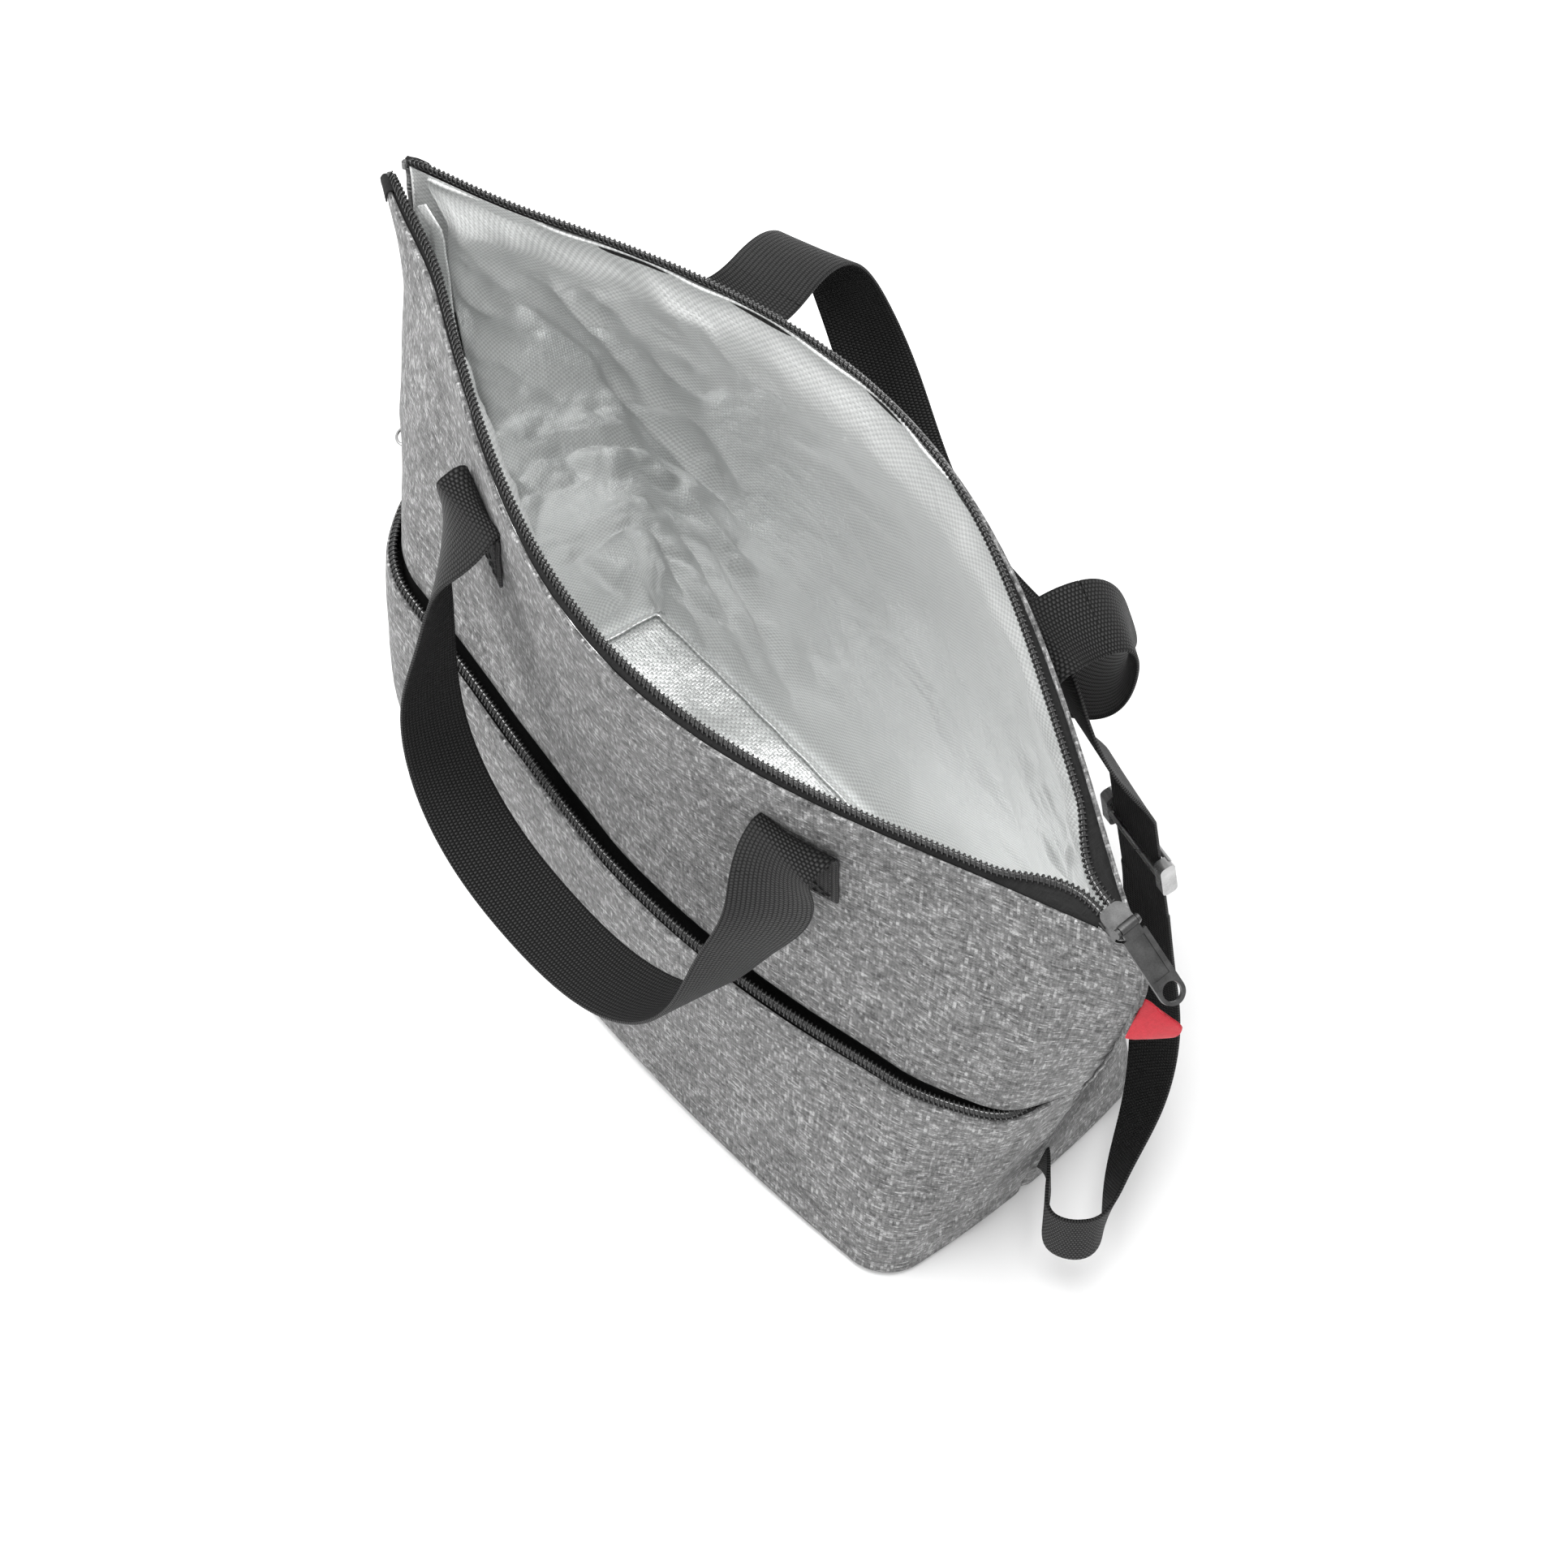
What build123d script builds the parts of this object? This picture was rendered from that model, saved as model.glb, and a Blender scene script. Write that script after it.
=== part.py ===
from build123d import *

import os
from math import cos, exp, hypot, pi, radians, sin

# Insulated cooler bag, standing open, millimetres.
# Origin: centre of the floor, on the ground. +X along the mouth towards the main slider,
# -Y towards the pocket side (front), +Z up.

# ---- overall sizes ----
BASE_LENGTH = 302.0  # floor, corner to corner along X
BASE_DEPTH = 141.0  # floor, corner to corner along Y
BASE_CORNER = 16.0  # radius of a floor corner
BASE_BOW_FRONT = 12.0  # how far the long floor edges bow out at their middle
BASE_BOW_BACK = 8.0
BASE_BOW_SIDE = 5.0
MOUTH_LENGTH = 415.0  # seam to seam with the mouth open
MOUTH_FRONT = 77.0  # how far the mouth opens to the front
MOUTH_BACK = 69.0
MOUTH_POWER = 1.2  # how the mouth's curve runs into the seams
HEIGHT_MIDDLE = 370.0  # floor to mouth, at the middle of a panel
MOUTH_FALL = 16.0  # how much lower the mouth's edge is at a side seam
HEIGHT_END = HEIGHT_MIDDLE - MOUTH_FALL
RIGHT_FULLNESS = 13.0  # how far the front's right corner stands out at half height
LEFT_FULLNESS = 21.0  # the same at the left, where it spreads further along the front
RIGHT_BOW = 9.0  # how far the right seam bows out, three quarters of the way up
LEFT_BOW = 5.0
WALL_PINCH = 9.0  # how far the wall behind the pocket draws in: the pocket's gape

# ---- layers, from the outside in ----
FABRIC = 1.2
FOAM = 4.0
LINING = 0.6
LAYER_GAP = 0.3
SEAM_GAP = 0.3  # between the two halves' cut edges at a side seam
POCKET_WALL = 0.8

# ---- pocket ----
POCKET_HEIGHT = 180.0  # middle of the pocket's zip
POCKET_COVER = 0.5  # the upper fabric's edge over the zip's middle: it hides the upper coil
POCKET_SHOW = 4.6  # the lower fabric's edge under the zip's middle: it leaves the lower coil bare
POCKET_FLOOR = 14.0  # where the pocket's back wall starts
POCKET_SPAN = 0.955  # share of the half panel over which the pocket gapes
POCKET_COIL_SPAN = 0.86  # share of the half panel that the pocket's coils run over

# ---- zips ----
TAPE_THICK = 0.6
TAPE_DEPTH = 14.0  # mouth tape, sewn in between fabric and lining
TAPE_PROUD = 3.0  # how far it stands above the fabric
COIL_RADIUS = 1.7
POCKET_COIL_RADIUS = 1.5
COIL_SEAT = 0.1  # between coil and tape, and between two closed coils
POCKET_TAPE_DEPTH = 9.0
MOUTH_ZIP_END = 24.0  # from a side seam to the end of a mouth coil
END_TAB_LENGTH = 10.0  # the tape's folded end, past its coil

# ---- webbing ----
WEBBING_WIDTH = 32.0
WEBBING = 1.4
HANDLE_SPACING = 176.0  # between the middles of a handle's two ends
HANDLE_BELOW_MOUTH = 35.0  # fold line under the mouth's edge
TAIL_LENGTH = 42.0
HINGE_OUT = 10.0  # a handle turns this far out from its fold line
HINGE_GAP = 0.9  # between a handle and the fold it turns on
STRAP_SEAM_HEIGHT = 62.0  # middle of the strap's lower end in the side seam
STRAP_TOP_X = 56.0  # middle of the strap's upper end on the back panel
STRAP_TOP_HEIGHT = 324.0
STRAP_PATCH = 26.0  # length of strap that is sewn down there
STRAP_SLANT = radians(40)  # its slope there

# ---- metal fittings ----
SLIDER_LENGTH = 13.0
SLIDER_WIDTH = 10.4
SLIDER_PLATE = 1.2
SLIDER_HEIGHT = 5.4  # over both plates
SLIDER_FROM_SEAM = 15.5  # middle of the slider to the side seam, with the mouth open
POCKET_SLIDER_PAST = 0.085  # share of the half panel: middle of the pocket slider, past the end of its coils
SLIDER_SEAT = 0.3  # between a slider and the fabric under it
BRIDGE_RADIUS = 0.9  # the bar that a puller turns on
BRIDGE_HEIGHT = 3.4  # its middle over the slider's top plate
BRIDGE_AHEAD = 3.5  # its middle to the slider's middle
LUG_LENGTH = 3.2  # of the two lugs that hold the bar
PIVOT_PLAY = 0.06  # radial clearance of a puller on that bar
SIDE_PLAY = 0.3  # between a puller and each lug
PULLER_LENGTH = 34.0  # bar to tip
PULLER_WIDTH = 10.4
PULLER_THICK = 1.7
PULLER_SHELL = 1.0  # wall of its barrel, round the bar
PULLER_EYE = 3.7  # radius of the round hole at its tip
PULLER_RECESS = 0.5
PULLER_DROOP = 34.0  # degrees below level, as it lies over the bag's corner
RING_RADIUS = 4.2  # pocket puller, to the middle of its wire
RING_WIRE = 0.65
ADJUSTER_LENGTH = 42.0
ADJUSTER_WIDTH = 20.0
ADJUSTER_BAR = 1.1  # radius of its three bars
STRAP_PLAY = 0.35  # between the strap and the adjuster's bars and rails
TAG_LENGTH = 17.0  # out from the seam
TAG_HEIGHT = 24.0
TAG_THICK = 1.2
TAG_CORNER = 5.0
TAG_OUT = Vector(0.8, 0.58, -0.2).normalized()  # it turns back and droops as it stands out
TAG_UP = Vector(0, 0.36, 0.93)
TAG_SEAM_HEIGHT = 291.0

# Heights, as shares of the middle height, at which a panel's plan shape is set.
LEVELS = (0.0, 0.035, 0.12, 0.25, 0.37, 0.487, 0.5, 0.64, 0.77, 0.9, 1.04)
# Places along half a panel, from its middle to its seam, closest at the floor's corner.
PLACES = (0.0, 0.14, 0.28, 0.42, 0.54, 0.6, 0.64, 0.68, 0.72, 0.76, 0.8, 0.84, 0.88, 0.92, 0.96, 1.0)
END_SPACE = 0.015  # least distance from a layer's end to the next place
FRONT, BACK = -1, 1

os.makedirs("parts", exist_ok=True)


# ---- the bag's surface -------------------------------------------------------------

def base_plan(side, u):
    """Floor outline: a rounded corner box whose edges bow out a little."""
    half, depth, r = BASE_LENGTH / 2, BASE_DEPTH / 2, BASE_CORNER
    run = abs(u) * (half + depth - (2 - pi / 2) * r)
    if run < half - r:
        x, y = run, depth
    elif run < half - r + r * pi / 2:
        turn = (run - half + r) / r
        x, y = half - r + r * sin(turn), depth - r + r * cos(turn)
    else:
        x, y = half, depth - r - (run - half + r - r * pi / 2)
    bow = BASE_BOW_FRONT if side == FRONT else BASE_BOW_BACK
    wide = x + BASE_BOW_SIDE * (1 - (y / depth) ** 2)
    deep = y + bow * (1 - (x / half) ** 2)
    return (wide if u >= 0 else -wide), side * deep


def mouth_plan(side, u):
    """Mouth outline: two shallow arcs that meet in a point at each seam."""
    opening = MOUTH_FRONT if side == FRONT else MOUTH_BACK
    return u * MOUTH_LENGTH / 2, side * opening * cos(u * pi / 2) ** MOUTH_POWER


def seam_bow(share):
    """How much of its bow a seam has at this share of the middle height."""
    return share**3 * (1 - share) / (0.75**3 * 0.25)


def outer_plan(side, u, share):
    """The outer surface in plan at a share of the middle height, for u from -1 to 1."""
    (bx, by), (mx, my) = base_plan(side, u), mouth_plan(side, u)
    x, y = bx + (mx - bx) * share, by + (my - by) * share
    if share > 1:
        return x, y
    x += (RIGHT_BOW if u > 0 else -LEFT_BOW) * seam_bow(share) * u**4
    if side == BACK:
        return x, y
    size, spread, lean = (RIGHT_FULLNESS, 0.13, 0.82) if u >= 0 else (LEFT_FULLNESS, 0.34, -0.5)
    full = size * sin(pi * share) * exp(-(((abs(u) - 0.85) / spread) ** 2)) * (1 - abs(u) ** 12)
    return x + full * lean, y - full * (1 - lean**2) ** 0.5


def pinch(side, u, share):
    """How far the wall behind the pocket draws in from the outer surface."""
    if side == BACK or share > 1:
        return 0.0
    along = max(0.0, 1 - (abs(u) / POCKET_SPAN) ** 4)
    return WALL_PINCH * sin(pi * share) ** 0.8 * along


def plan_point(side, u, share, inset, wall=True):
    """A point in plan, moved in from the outer surface (or from the drawn-in wall)."""
    step = 0.004
    x, y = outer_plan(side, u, share)
    low, high = outer_plan(side, max(u - step, -1), share), outer_plan(side, min(u + step, 1), share)
    tx, ty = high[0] - low[0], high[1] - low[1]
    size = hypot(tx, ty)
    nx, ny = side * ty / size, -side * tx / size
    depth = inset + (pinch(side, u, share) if wall else 0.0)
    return x + nx * depth, y + ny * depth


def seam_place(side, share, inset, wall=True):
    """The last u at which this layer is still clear of the other half of the bag."""
    low, high = 0.5, 1.0
    if side * plan_point(side, high, share, inset, wall)[1] >= SEAM_GAP / 2:
        return high
    for _ in range(24):
        middle = (low + high) / 2
        if side * plan_point(side, middle, share, inset, wall)[1] >= SEAM_GAP / 2:
            low = middle
        else:
            high = middle
    return low


def mouth_height(x):
    """The mouth's edge is highest at the middle of a panel."""
    return HEIGHT_MIDDLE - (HEIGHT_MIDDLE - HEIGHT_END) * min(1, abs(2 * x / MOUTH_LENGTH)) ** 2


def place_at(side, x, share):
    """The u whose outer point has this x."""
    low, high = 0.0, 1.0
    for _ in range(30):
        middle = (low + high) / 2
        if outer_plan(side, middle, share)[0] < abs(x):
            low = middle
        else:
            high = middle
    return low if x >= 0 else -low


# ---- makers of layers and strips ---------------------------------------------------

def plan_curve(side, share, inset, ends, wall):
    """Spline edge along one layer's plan curve at one height."""
    reach = seam_place(side, share, inset, wall)
    lo, hi = max(ends[0], -reach), min(ends[1], reach)
    inner = {way * p * reach for p in PLACES for way in (-1, 1)}
    places = [lo] + sorted(p for p in inner if lo + END_SPACE < p < hi - END_SPACE) + [hi]
    z = share * HEIGHT_MIDDLE
    return [Vector(*plan_point(side, u, share, inset, wall), z) for u in places]


def shell_section(side, share, outer_inset, inner_inset, ends, wall):
    """Closed wire of one layer at one height."""
    outside = plan_curve(side, share, outer_inset, ends, wall)
    inside = plan_curve(side, share, inner_inset, ends, wall)
    return Wire(
        [
            Spline(*outside).edge(),
            Line(outside[-1], inside[-1]).edge(),
            Spline(*inside[::-1]).edge(),
            Line(inside[0], outside[0]).edge(),
        ]
    )


def layer(side, z_low, z_high, outer_inset, thick, ends=(-1, 1), wall=True, flare=None):
    """One layer of the wall between two heights, as a ruled loft of its plan shapes."""
    low, high = z_low / HEIGHT_MIDDLE, z_high / HEIGHT_MIDDLE
    shares = [low] + [s for s in LEVELS if low + 0.01 < s < high - 0.01] + [high]
    sections = []
    for share in shares:
        inset = outer_inset if flare is None else flare(share * HEIGHT_MIDDLE)
        sections.append(shell_section(side, share, inset, inset + thick, ends, wall))
    return Solid.make_loft(sections, True)


def under_mouth(solid, drop):
    """Trims a layer to the mouth's curved edge, lowered by drop."""
    half = MOUTH_LENGTH / 2
    reach = half * 1.4
    fall = (HEIGHT_MIDDLE - HEIGHT_END) * (reach / half) ** 2
    top = HEIGHT_MIDDLE * 1.3
    outline = [
        ThreePointArc(
            (-reach, 0, HEIGHT_MIDDLE - fall - drop),
            (0, 0, HEIGHT_MIDDLE - drop),
            (reach, 0, HEIGHT_MIDDLE - fall - drop),
        ).edge(),
        Line((reach, 0, HEIGHT_MIDDLE - fall - drop), (reach, 0, top)).edge(),
        Line((reach, 0, top), (-reach, 0, top)).edge(),
        Line((-reach, 0, top), (-reach, 0, HEIGHT_MIDDLE - fall - drop)).edge(),
    ]
    above = Face(Wire(outline))
    cutter = Solid.extrude(above, Vector(0, BASE_DEPTH * 3, 0)).moved(Location((0, -BASE_DEPTH * 1.5, 0)))
    kept = solid.cut(cutter)
    return kept.solids().sort_by(SortBy.VOLUME)[-1]


def floor_plate(z_low, thick, inset):
    """A flat plate in the floor's outline."""
    front = [Vector(*plan_point(FRONT, u, 0, inset, False), z_low) for u in floor_places()]
    back = [Vector(*plan_point(BACK, u, 0, inset, False), z_low) for u in floor_places()]
    for half in (front, back):
        half[0], half[-1] = Vector(half[0].X, 0, z_low), Vector(half[-1].X, 0, z_low)
    outline = Wire([Spline(*front).edge(), Spline(*back[::-1]).edge()])
    return Solid.extrude(Face(outline), Vector(0, 0, thick))


def floor_places():
    """The places of a floor outline, seam to seam."""
    return [-p for p in PLACES[:0:-1]] + list(PLACES)


def tube_section(centre, across, up, corners):
    """Closed polygon across a strip: corners are (across, up) pairs."""
    points = [centre + across * a + up * b for a, b in corners]
    return Wire.make_polygon(points, close=True)


def strip(path, width_dirs, corners):
    """Ruled loft of one polygon carried along a path, turned by its width directions."""
    sections = []
    for i, (point, across) in enumerate(zip(path, width_dirs)):
        ahead = path[min(i + 1, len(path) - 1)] - path[max(i - 1, 0)]
        along = ahead.normalized()
        across = (across - along * across.dot(along)).normalized()
        sections.append(tube_section(point, across, along.cross(across), corners))
    return Solid.make_loft(sections, True)


def flat_corners(width, thick):
    """Corners of a flat strip's cross-section."""
    w, t = width / 2, thick / 2
    return [(-w, -t), (w, -t), (w, t), (-w, t)]


def round_corners(radius, sides=8):
    """Corners of a round section, as a polygon."""
    return [(radius * cos(2 * pi * k / sides), radius * sin(2 * pi * k / sides)) for k in range(sides)]


def smooth(stations, tangents, per_span=4):
    """Points and width directions along the smooth curve through stations of (point, direction)."""
    points = [Vector(*point) for point, _ in stations]
    edge_points = [p + Vector(*way).normalized() * WEBBING_WIDTH for p, (_, way) in zip(points, stations)]
    reached = [0.0]
    for a, b in zip(points, points[1:]):
        reached.append(reached[-1] + (b - a).length)
    places = [r / reached[-1] for r in reached]
    line = Edge.make_spline(points, tangents, parameters=places)
    edge = Edge.make_spline(edge_points, parameters=places)
    path, across = [], []
    for low, high in zip(places, places[1:]):
        for k in range(per_span):
            path.append(place_on(line, low + (high - low) * k / per_span))
            across.append(place_on(edge, low + (high - low) * k / per_span) - path[-1])
    return path + points[-1:], across + [edge_points[-1] - points[-1]]


def place_on(edge, share):
    """A point of an edge, by its own parameter."""
    return edge.position_at(share, position_mode=PositionMode.PARAMETER)


def save(solid, name):
    """Writes one sub-part, or one group of separate solids, as its own file."""
    shape = Compound(children=list(solid)) if isinstance(solid, (list, tuple)) else solid
    export_step(shape, f"parts/{name}.step")


# ---- outer fabric ------------------------------------------------------------------

wall_foot = FABRIC + LAYER_GAP
upper_edge = POCKET_HEIGHT + POCKET_COVER
lower_edge = POCKET_HEIGHT - POCKET_SHOW
over_top = HEIGHT_MIDDLE + 6

front_panel = under_mouth(layer(FRONT, upper_edge, over_top, 0, FABRIC), 0)
back_panel = under_mouth(layer(BACK, wall_foot, over_top, 0, FABRIC), 0)
pocket_panel = layer(FRONT, wall_foot, lower_edge, 0, FABRIC, wall=False)
base_panel = floor_plate(0, FABRIC, 0)
save(front_panel, "front_panel")
save(back_panel, "back_panel")
save(pocket_panel, "pocket_panel")
save(base_panel, "base_panel")

# The pocket's back wall lies behind the pocket panel and stops short of the side seams.
pocket_wall_inset = FABRIC + LAYER_GAP
pocket_wall_top = POCKET_HEIGHT - COIL_SEAT - 2 * POCKET_COIL_RADIUS - LAYER_GAP
pocket_lining = layer(FRONT, POCKET_FLOOR, pocket_wall_top, pocket_wall_inset, POCKET_WALL, (-0.92, 0.92))
save(pocket_lining, "pocket_lining")

# ---- insulation and lining ---------------------------------------------------------

foam_inset = pocket_wall_inset + 2 * POCKET_COIL_RADIUS + LAYER_GAP
foam_top = HEIGHT_END - TAPE_DEPTH - 7
foam_ends = (-0.9, 0.9)
lining_inset = foam_inset + FOAM + LAYER_GAP
lining_under_tape = FABRIC + TAPE_THICK + 2 * LAYER_GAP
foam_foot = wall_foot
lining_foot = foam_foot + FOAM + LAYER_GAP


def lining_flare(z):
    """The lining runs behind the foam, then out to the zip tape above the foam's edge."""
    rise = min(1, max(0, (z - foam_top) / (TAPE_DEPTH / 2)))
    return lining_inset + (lining_under_tape - lining_inset) * rise


for side, word in ((FRONT, "front"), (BACK, "back")):
    save(layer(side, foam_foot, foam_top, foam_inset, FOAM, foam_ends), f"foam_{word}")
    cloth = layer(side, lining_foot, over_top, 0, LINING, (-0.93, 0.93), flare=lining_flare)
    save(under_mouth(cloth, 2.0), f"lining_{word}")

foam_base_inset = foam_inset + FOAM + LAYER_GAP
save(floor_plate(foam_foot, FOAM, foam_base_inset + WALL_PINCH * 0.2), "foam_base")
lining_base_inset = lining_inset + LINING + LAYER_GAP
save(floor_plate(lining_foot, LINING, lining_base_inset + WALL_PINCH * 0.25), "lining_base")

# ---- mouth zip ---------------------------------------------------------------------

tape_inset = FABRIC + LAYER_GAP + TAPE_THICK / 2
zip_reach = MOUTH_LENGTH / 2 - MOUTH_ZIP_END


def mouth_path(side, x_from, x_to, inset, rise, count=26):
    """Points along the mouth's edge, moved in from the fabric and up from its edge."""
    points = []
    for k in range(count + 1):
        x = x_from + (x_to - x_from) * k / count
        u = place_at(side, x, 1)
        z = mouth_height(x) + rise
        points.append(Vector(*plan_point(side, u, z / HEIGHT_MIDDLE, inset), z))
    return points


def upright_strip(points, width, thick):
    """A strip that stands on edge along a path."""
    return strip(points, [Vector(0, 0, 1)] * len(points), flat_corners(width, thick))


coil_rise = TAPE_PROUD + LAYER_GAP + COIL_RADIUS
for side, word in ((FRONT, "front"), (BACK, "back")):
    tape_ends = (place_at(side, -zip_reach, 1), place_at(side, zip_reach, 1))
    tape_foot = HEIGHT_END + TAPE_PROUD - TAPE_DEPTH
    tape = layer(side, tape_foot, over_top, FABRIC + LAYER_GAP, TAPE_THICK, tape_ends)
    save(under_mouth(tape, -TAPE_PROUD), f"mouth_tape_{word}")
    coil_line = mouth_path(side, -zip_reach, zip_reach, tape_inset, coil_rise)
    save(strip(coil_line, [Vector(0, 0, 1)] * len(coil_line), round_corners(COIL_RADIUS)), f"mouth_coil_{word}")

tabs = []
for side in (FRONT, BACK):
    start = zip_reach + LAYER_GAP
    tab_inset = FABRIC + LAYER_GAP + TAPE_THICK
    line = mouth_path(side, -start - END_TAB_LENGTH, -start, tab_inset, coil_rise - COIL_RADIUS, 4)
    tabs.append(upright_strip(line, 2 * COIL_RADIUS + TAPE_PROUD, TAPE_THICK * 2))
save(tabs, "mouth_end_tabs")

# ---- pocket zip --------------------------------------------------------------------

# The lower coil stands over the fabric's edge; the upper one lies behind the wall's fabric.
pocket_ends = (-POCKET_COIL_SPAN, POCKET_COIL_SPAN)
behind_wall = FABRIC + LAYER_GAP + POCKET_COIL_RADIUS


def pocket_path(z, inset, wall, count=36):
    """Points along the pocket's zip at one height."""
    line = []
    for k in range(count + 1):
        u = POCKET_COIL_SPAN * (2 * k / count - 1)
        line.append(Vector(*plan_point(FRONT, u, z / HEIGHT_MIDDLE, inset, wall), z))
    return line


for word, wall, way, coil_inset in (
    ("lower", False, -1, POCKET_COIL_RADIUS),
    ("upper", True, 1, behind_wall),
):
    coil_z = POCKET_HEIGHT + way * (COIL_SEAT + POCKET_COIL_RADIUS)
    coil_line = pocket_path(coil_z, coil_inset, wall)
    coil = strip(coil_line, [Vector(0, 0, 1)] * len(coil_line), round_corners(POCKET_COIL_RADIUS))
    save(coil, f"pocket_coil_{word}")
    near = coil_z + way * (POCKET_COIL_RADIUS + COIL_SEAT)
    low, high = sorted((near, near + way * POCKET_TAPE_DEPTH))
    tape = layer(FRONT, low, high, FABRIC + LAYER_GAP, TAPE_THICK, pocket_ends, wall)
    save(tape, f"pocket_tape_{word}")

# ---- handles -----------------------------------------------------------------------

half_spacing = HANDLE_SPACING / 2
fold_height = HEIGHT_MIDDLE - HANDLE_BELOW_MOUTH

# Stations of a handle as it hangs, from its left end to its right end: the middle line's place
# (share of half the spacing, out from the hinge, up from the hinge), then the width's direction
# (along X, outward, up).
FRONT_HANDLE = (
    ((-1.0, 0, 0), (1, 0, 0)),
    ((-1.05, 9, -29), (0.74, 0.62, 0.27)),
    ((-0.99, 20, -64), (0.42, 0.84, 0.35)),
    ((-0.91, 31, -98), (0.14, 0.93, 0.32)),
    ((-0.73, 39, -128), (0.07, 0.97, 0.23)),
    ((-0.4, 44, -148), (0, 0.99, 0.16)),
    ((0, 45, -155), (0, 0.99, 0.12)),
    ((0.4, 44, -148), (0, 0.99, 0.16)),
    ((0.73, 39, -128), (-0.07, 0.97, 0.23)),
    ((0.91, 31, -98), (-0.14, 0.93, 0.32)),
    ((0.99, 20, -64), (-0.42, 0.84, 0.35)),
    ((1.05, 9, -29), (-0.74, 0.62, 0.27)),
    ((1.0, 0, 0), (-1, 0, 0)),
)
BACK_HANDLE = (
    ((-1.0, 0, 0), (1, 0, 0)),
    ((-1.08, 24, -12), (0.97, 0.2, 0.03)),
    ((-1.15, 48, -34), (0.93, 0.3, 0.2)),
    ((-1.02, 55, -66), (0.77, 0.48, 0.42)),
    ((-0.74, 50, -94), (0.58, 0.68, 0.44)),
    ((-0.37, 38, -112), (0.4, 0.82, 0.38)),
    ((0.05, 29, -118), (0.2, 0.9, 0.36)),
    ((0.49, 26, -113), (0.05, 0.95, 0.28)),
    ((0.86, 25, -96), (-0.14, 0.98, 0.1)),
    ((1.08, 26, -67), (-0.46, 0.88, -0.1)),
    ((1.13, 27, -32), (-0.78, 0.61, -0.14)),
    ((1.06, 20, -3), (-0.94, 0.33, -0.07)),
    ((1.0, 0, 0), (-1, 0, 0)),
)


def hinge_out(side):
    """Y of the line that a handle turns on."""
    u = place_at(side, half_spacing, fold_height / HEIGHT_MIDDLE)
    return plan_point(side, u, fold_height / HEIGHT_MIDDLE, 0)[1] + side * HINGE_OUT


def handle(side, stations, lean):
    """A webbing loop between its two hinge points; lean is how it leaves them (out, up)."""
    y = hinge_out(side)
    placed = [
        ((share * half_spacing, y + side * out, fold_height + up), (wx, side * wy, wz))
        for (share, out, up), (wx, wy, wz) in stations
    ]
    leave = Vector(0, side * lean[0], lean[1]).normalized()
    path, across = smooth(placed, (leave, leave * -1))
    return strip(path, across, flat_corners(WEBBING_WIDTH, WEBBING))


def handle_tail(side, x):
    """The webbing's end: sewn flat to the panel, then turned out to the hinge line."""
    share = fold_height / HEIGHT_MIDDLE
    u = place_at(side, x, share)
    half_u = abs(place_at(side, abs(x) + WEBBING_WIDTH / 2, share) - abs(u))
    outer = -(LAYER_GAP + WEBBING)
    low, high = fold_height - TAIL_LENGTH, fold_height - WEBBING
    plate = layer(side, low, high, outer, WEBBING, (u - half_u, u + half_u))
    seat = Vector(*plan_point(side, u, share, outer + WEBBING / 2), high - WEBBING / 2)
    left = Vector(*plan_point(side, u - half_u, share, 0), 0)
    right = Vector(*plan_point(side, u + half_u, share, 0), 0)
    hinge = Vector(x, hinge_out(side) - side * (HINGE_GAP + WEBBING / 2), fold_height)
    corners = flat_corners(WEBBING_WIDTH, WEBBING)
    up = Vector(0, 0, 1)
    along_panel = (right - left).normalized()
    lip = Solid.make_loft(
        [tube_section(seat, along_panel, up, corners), tube_section(hinge, Vector(1, 0, 0), up, corners)], True
    )
    return plate.fuse(lip).solids().sort_by(SortBy.VOLUME)[-1]


for side, word, stations, lean in (
    (FRONT, "front", FRONT_HANDLE, (0.5, -0.87)),
    (BACK, "back", BACK_HANDLE, (0.97, -0.25)),
):
    save(handle(side, stations, lean), f"{word}_handle")
    for sign, end in ((-1, "left"), (1, "right")):
        save(handle_tail(side, sign * half_spacing), f"{word}_handle_tail_{end}")

# ---- shoulder straps ---------------------------------------------------------------


def on_seam(z):
    """The right side seam at a height."""
    return Vector(outer_plan(BACK, 1, z / HEIGHT_MIDDLE)[0], 0, z)


seam_way = (on_seam(STRAP_SEAM_HEIGHT + 1) - on_seam(STRAP_SEAM_HEIGHT)).normalized()
seam_out = Vector(seam_way.Z, 0, -seam_way.X)
seam_start = on_seam(STRAP_SEAM_HEIGHT) + seam_out * (LAYER_GAP + WEBBING / 4)

# Right strap, from the side seam round behind the bag to the adjuster's straight run.
STRAP_LOOP = (
    (tuple(seam_start), tuple(seam_way)),
    ((191, -18, 62), (-0.03, 0.1, 1)),
    ((202, -10, 62), (-0.1, 0.12, 0.99)),
    ((193, 14, 63), (0.27, 0.09, 0.96)),
    ((176, 43, 71), (0.62, 0.05, 0.78)),
    ((159, 63, 91), (0.84, 0.02, 0.54)),
    ((144, 72, 122), (0.95, -0.05, 0.3)),
    ((133, 77, 160), (0.98, -0.12, 0.15)),
)
RUN_TOP = Vector(122, 76, 232)
RUN_DIR = Vector(0.98, -0.15, 0.12)
STRAP_RISE = (
    ((112, 68, 262), (0.92, -0.25, 0.31)),
    ((95, 66, 292), (0.83, -0.24, 0.5)),
    ((75, 67, 312), (0.73, -0.08, 0.68)),
)


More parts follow.
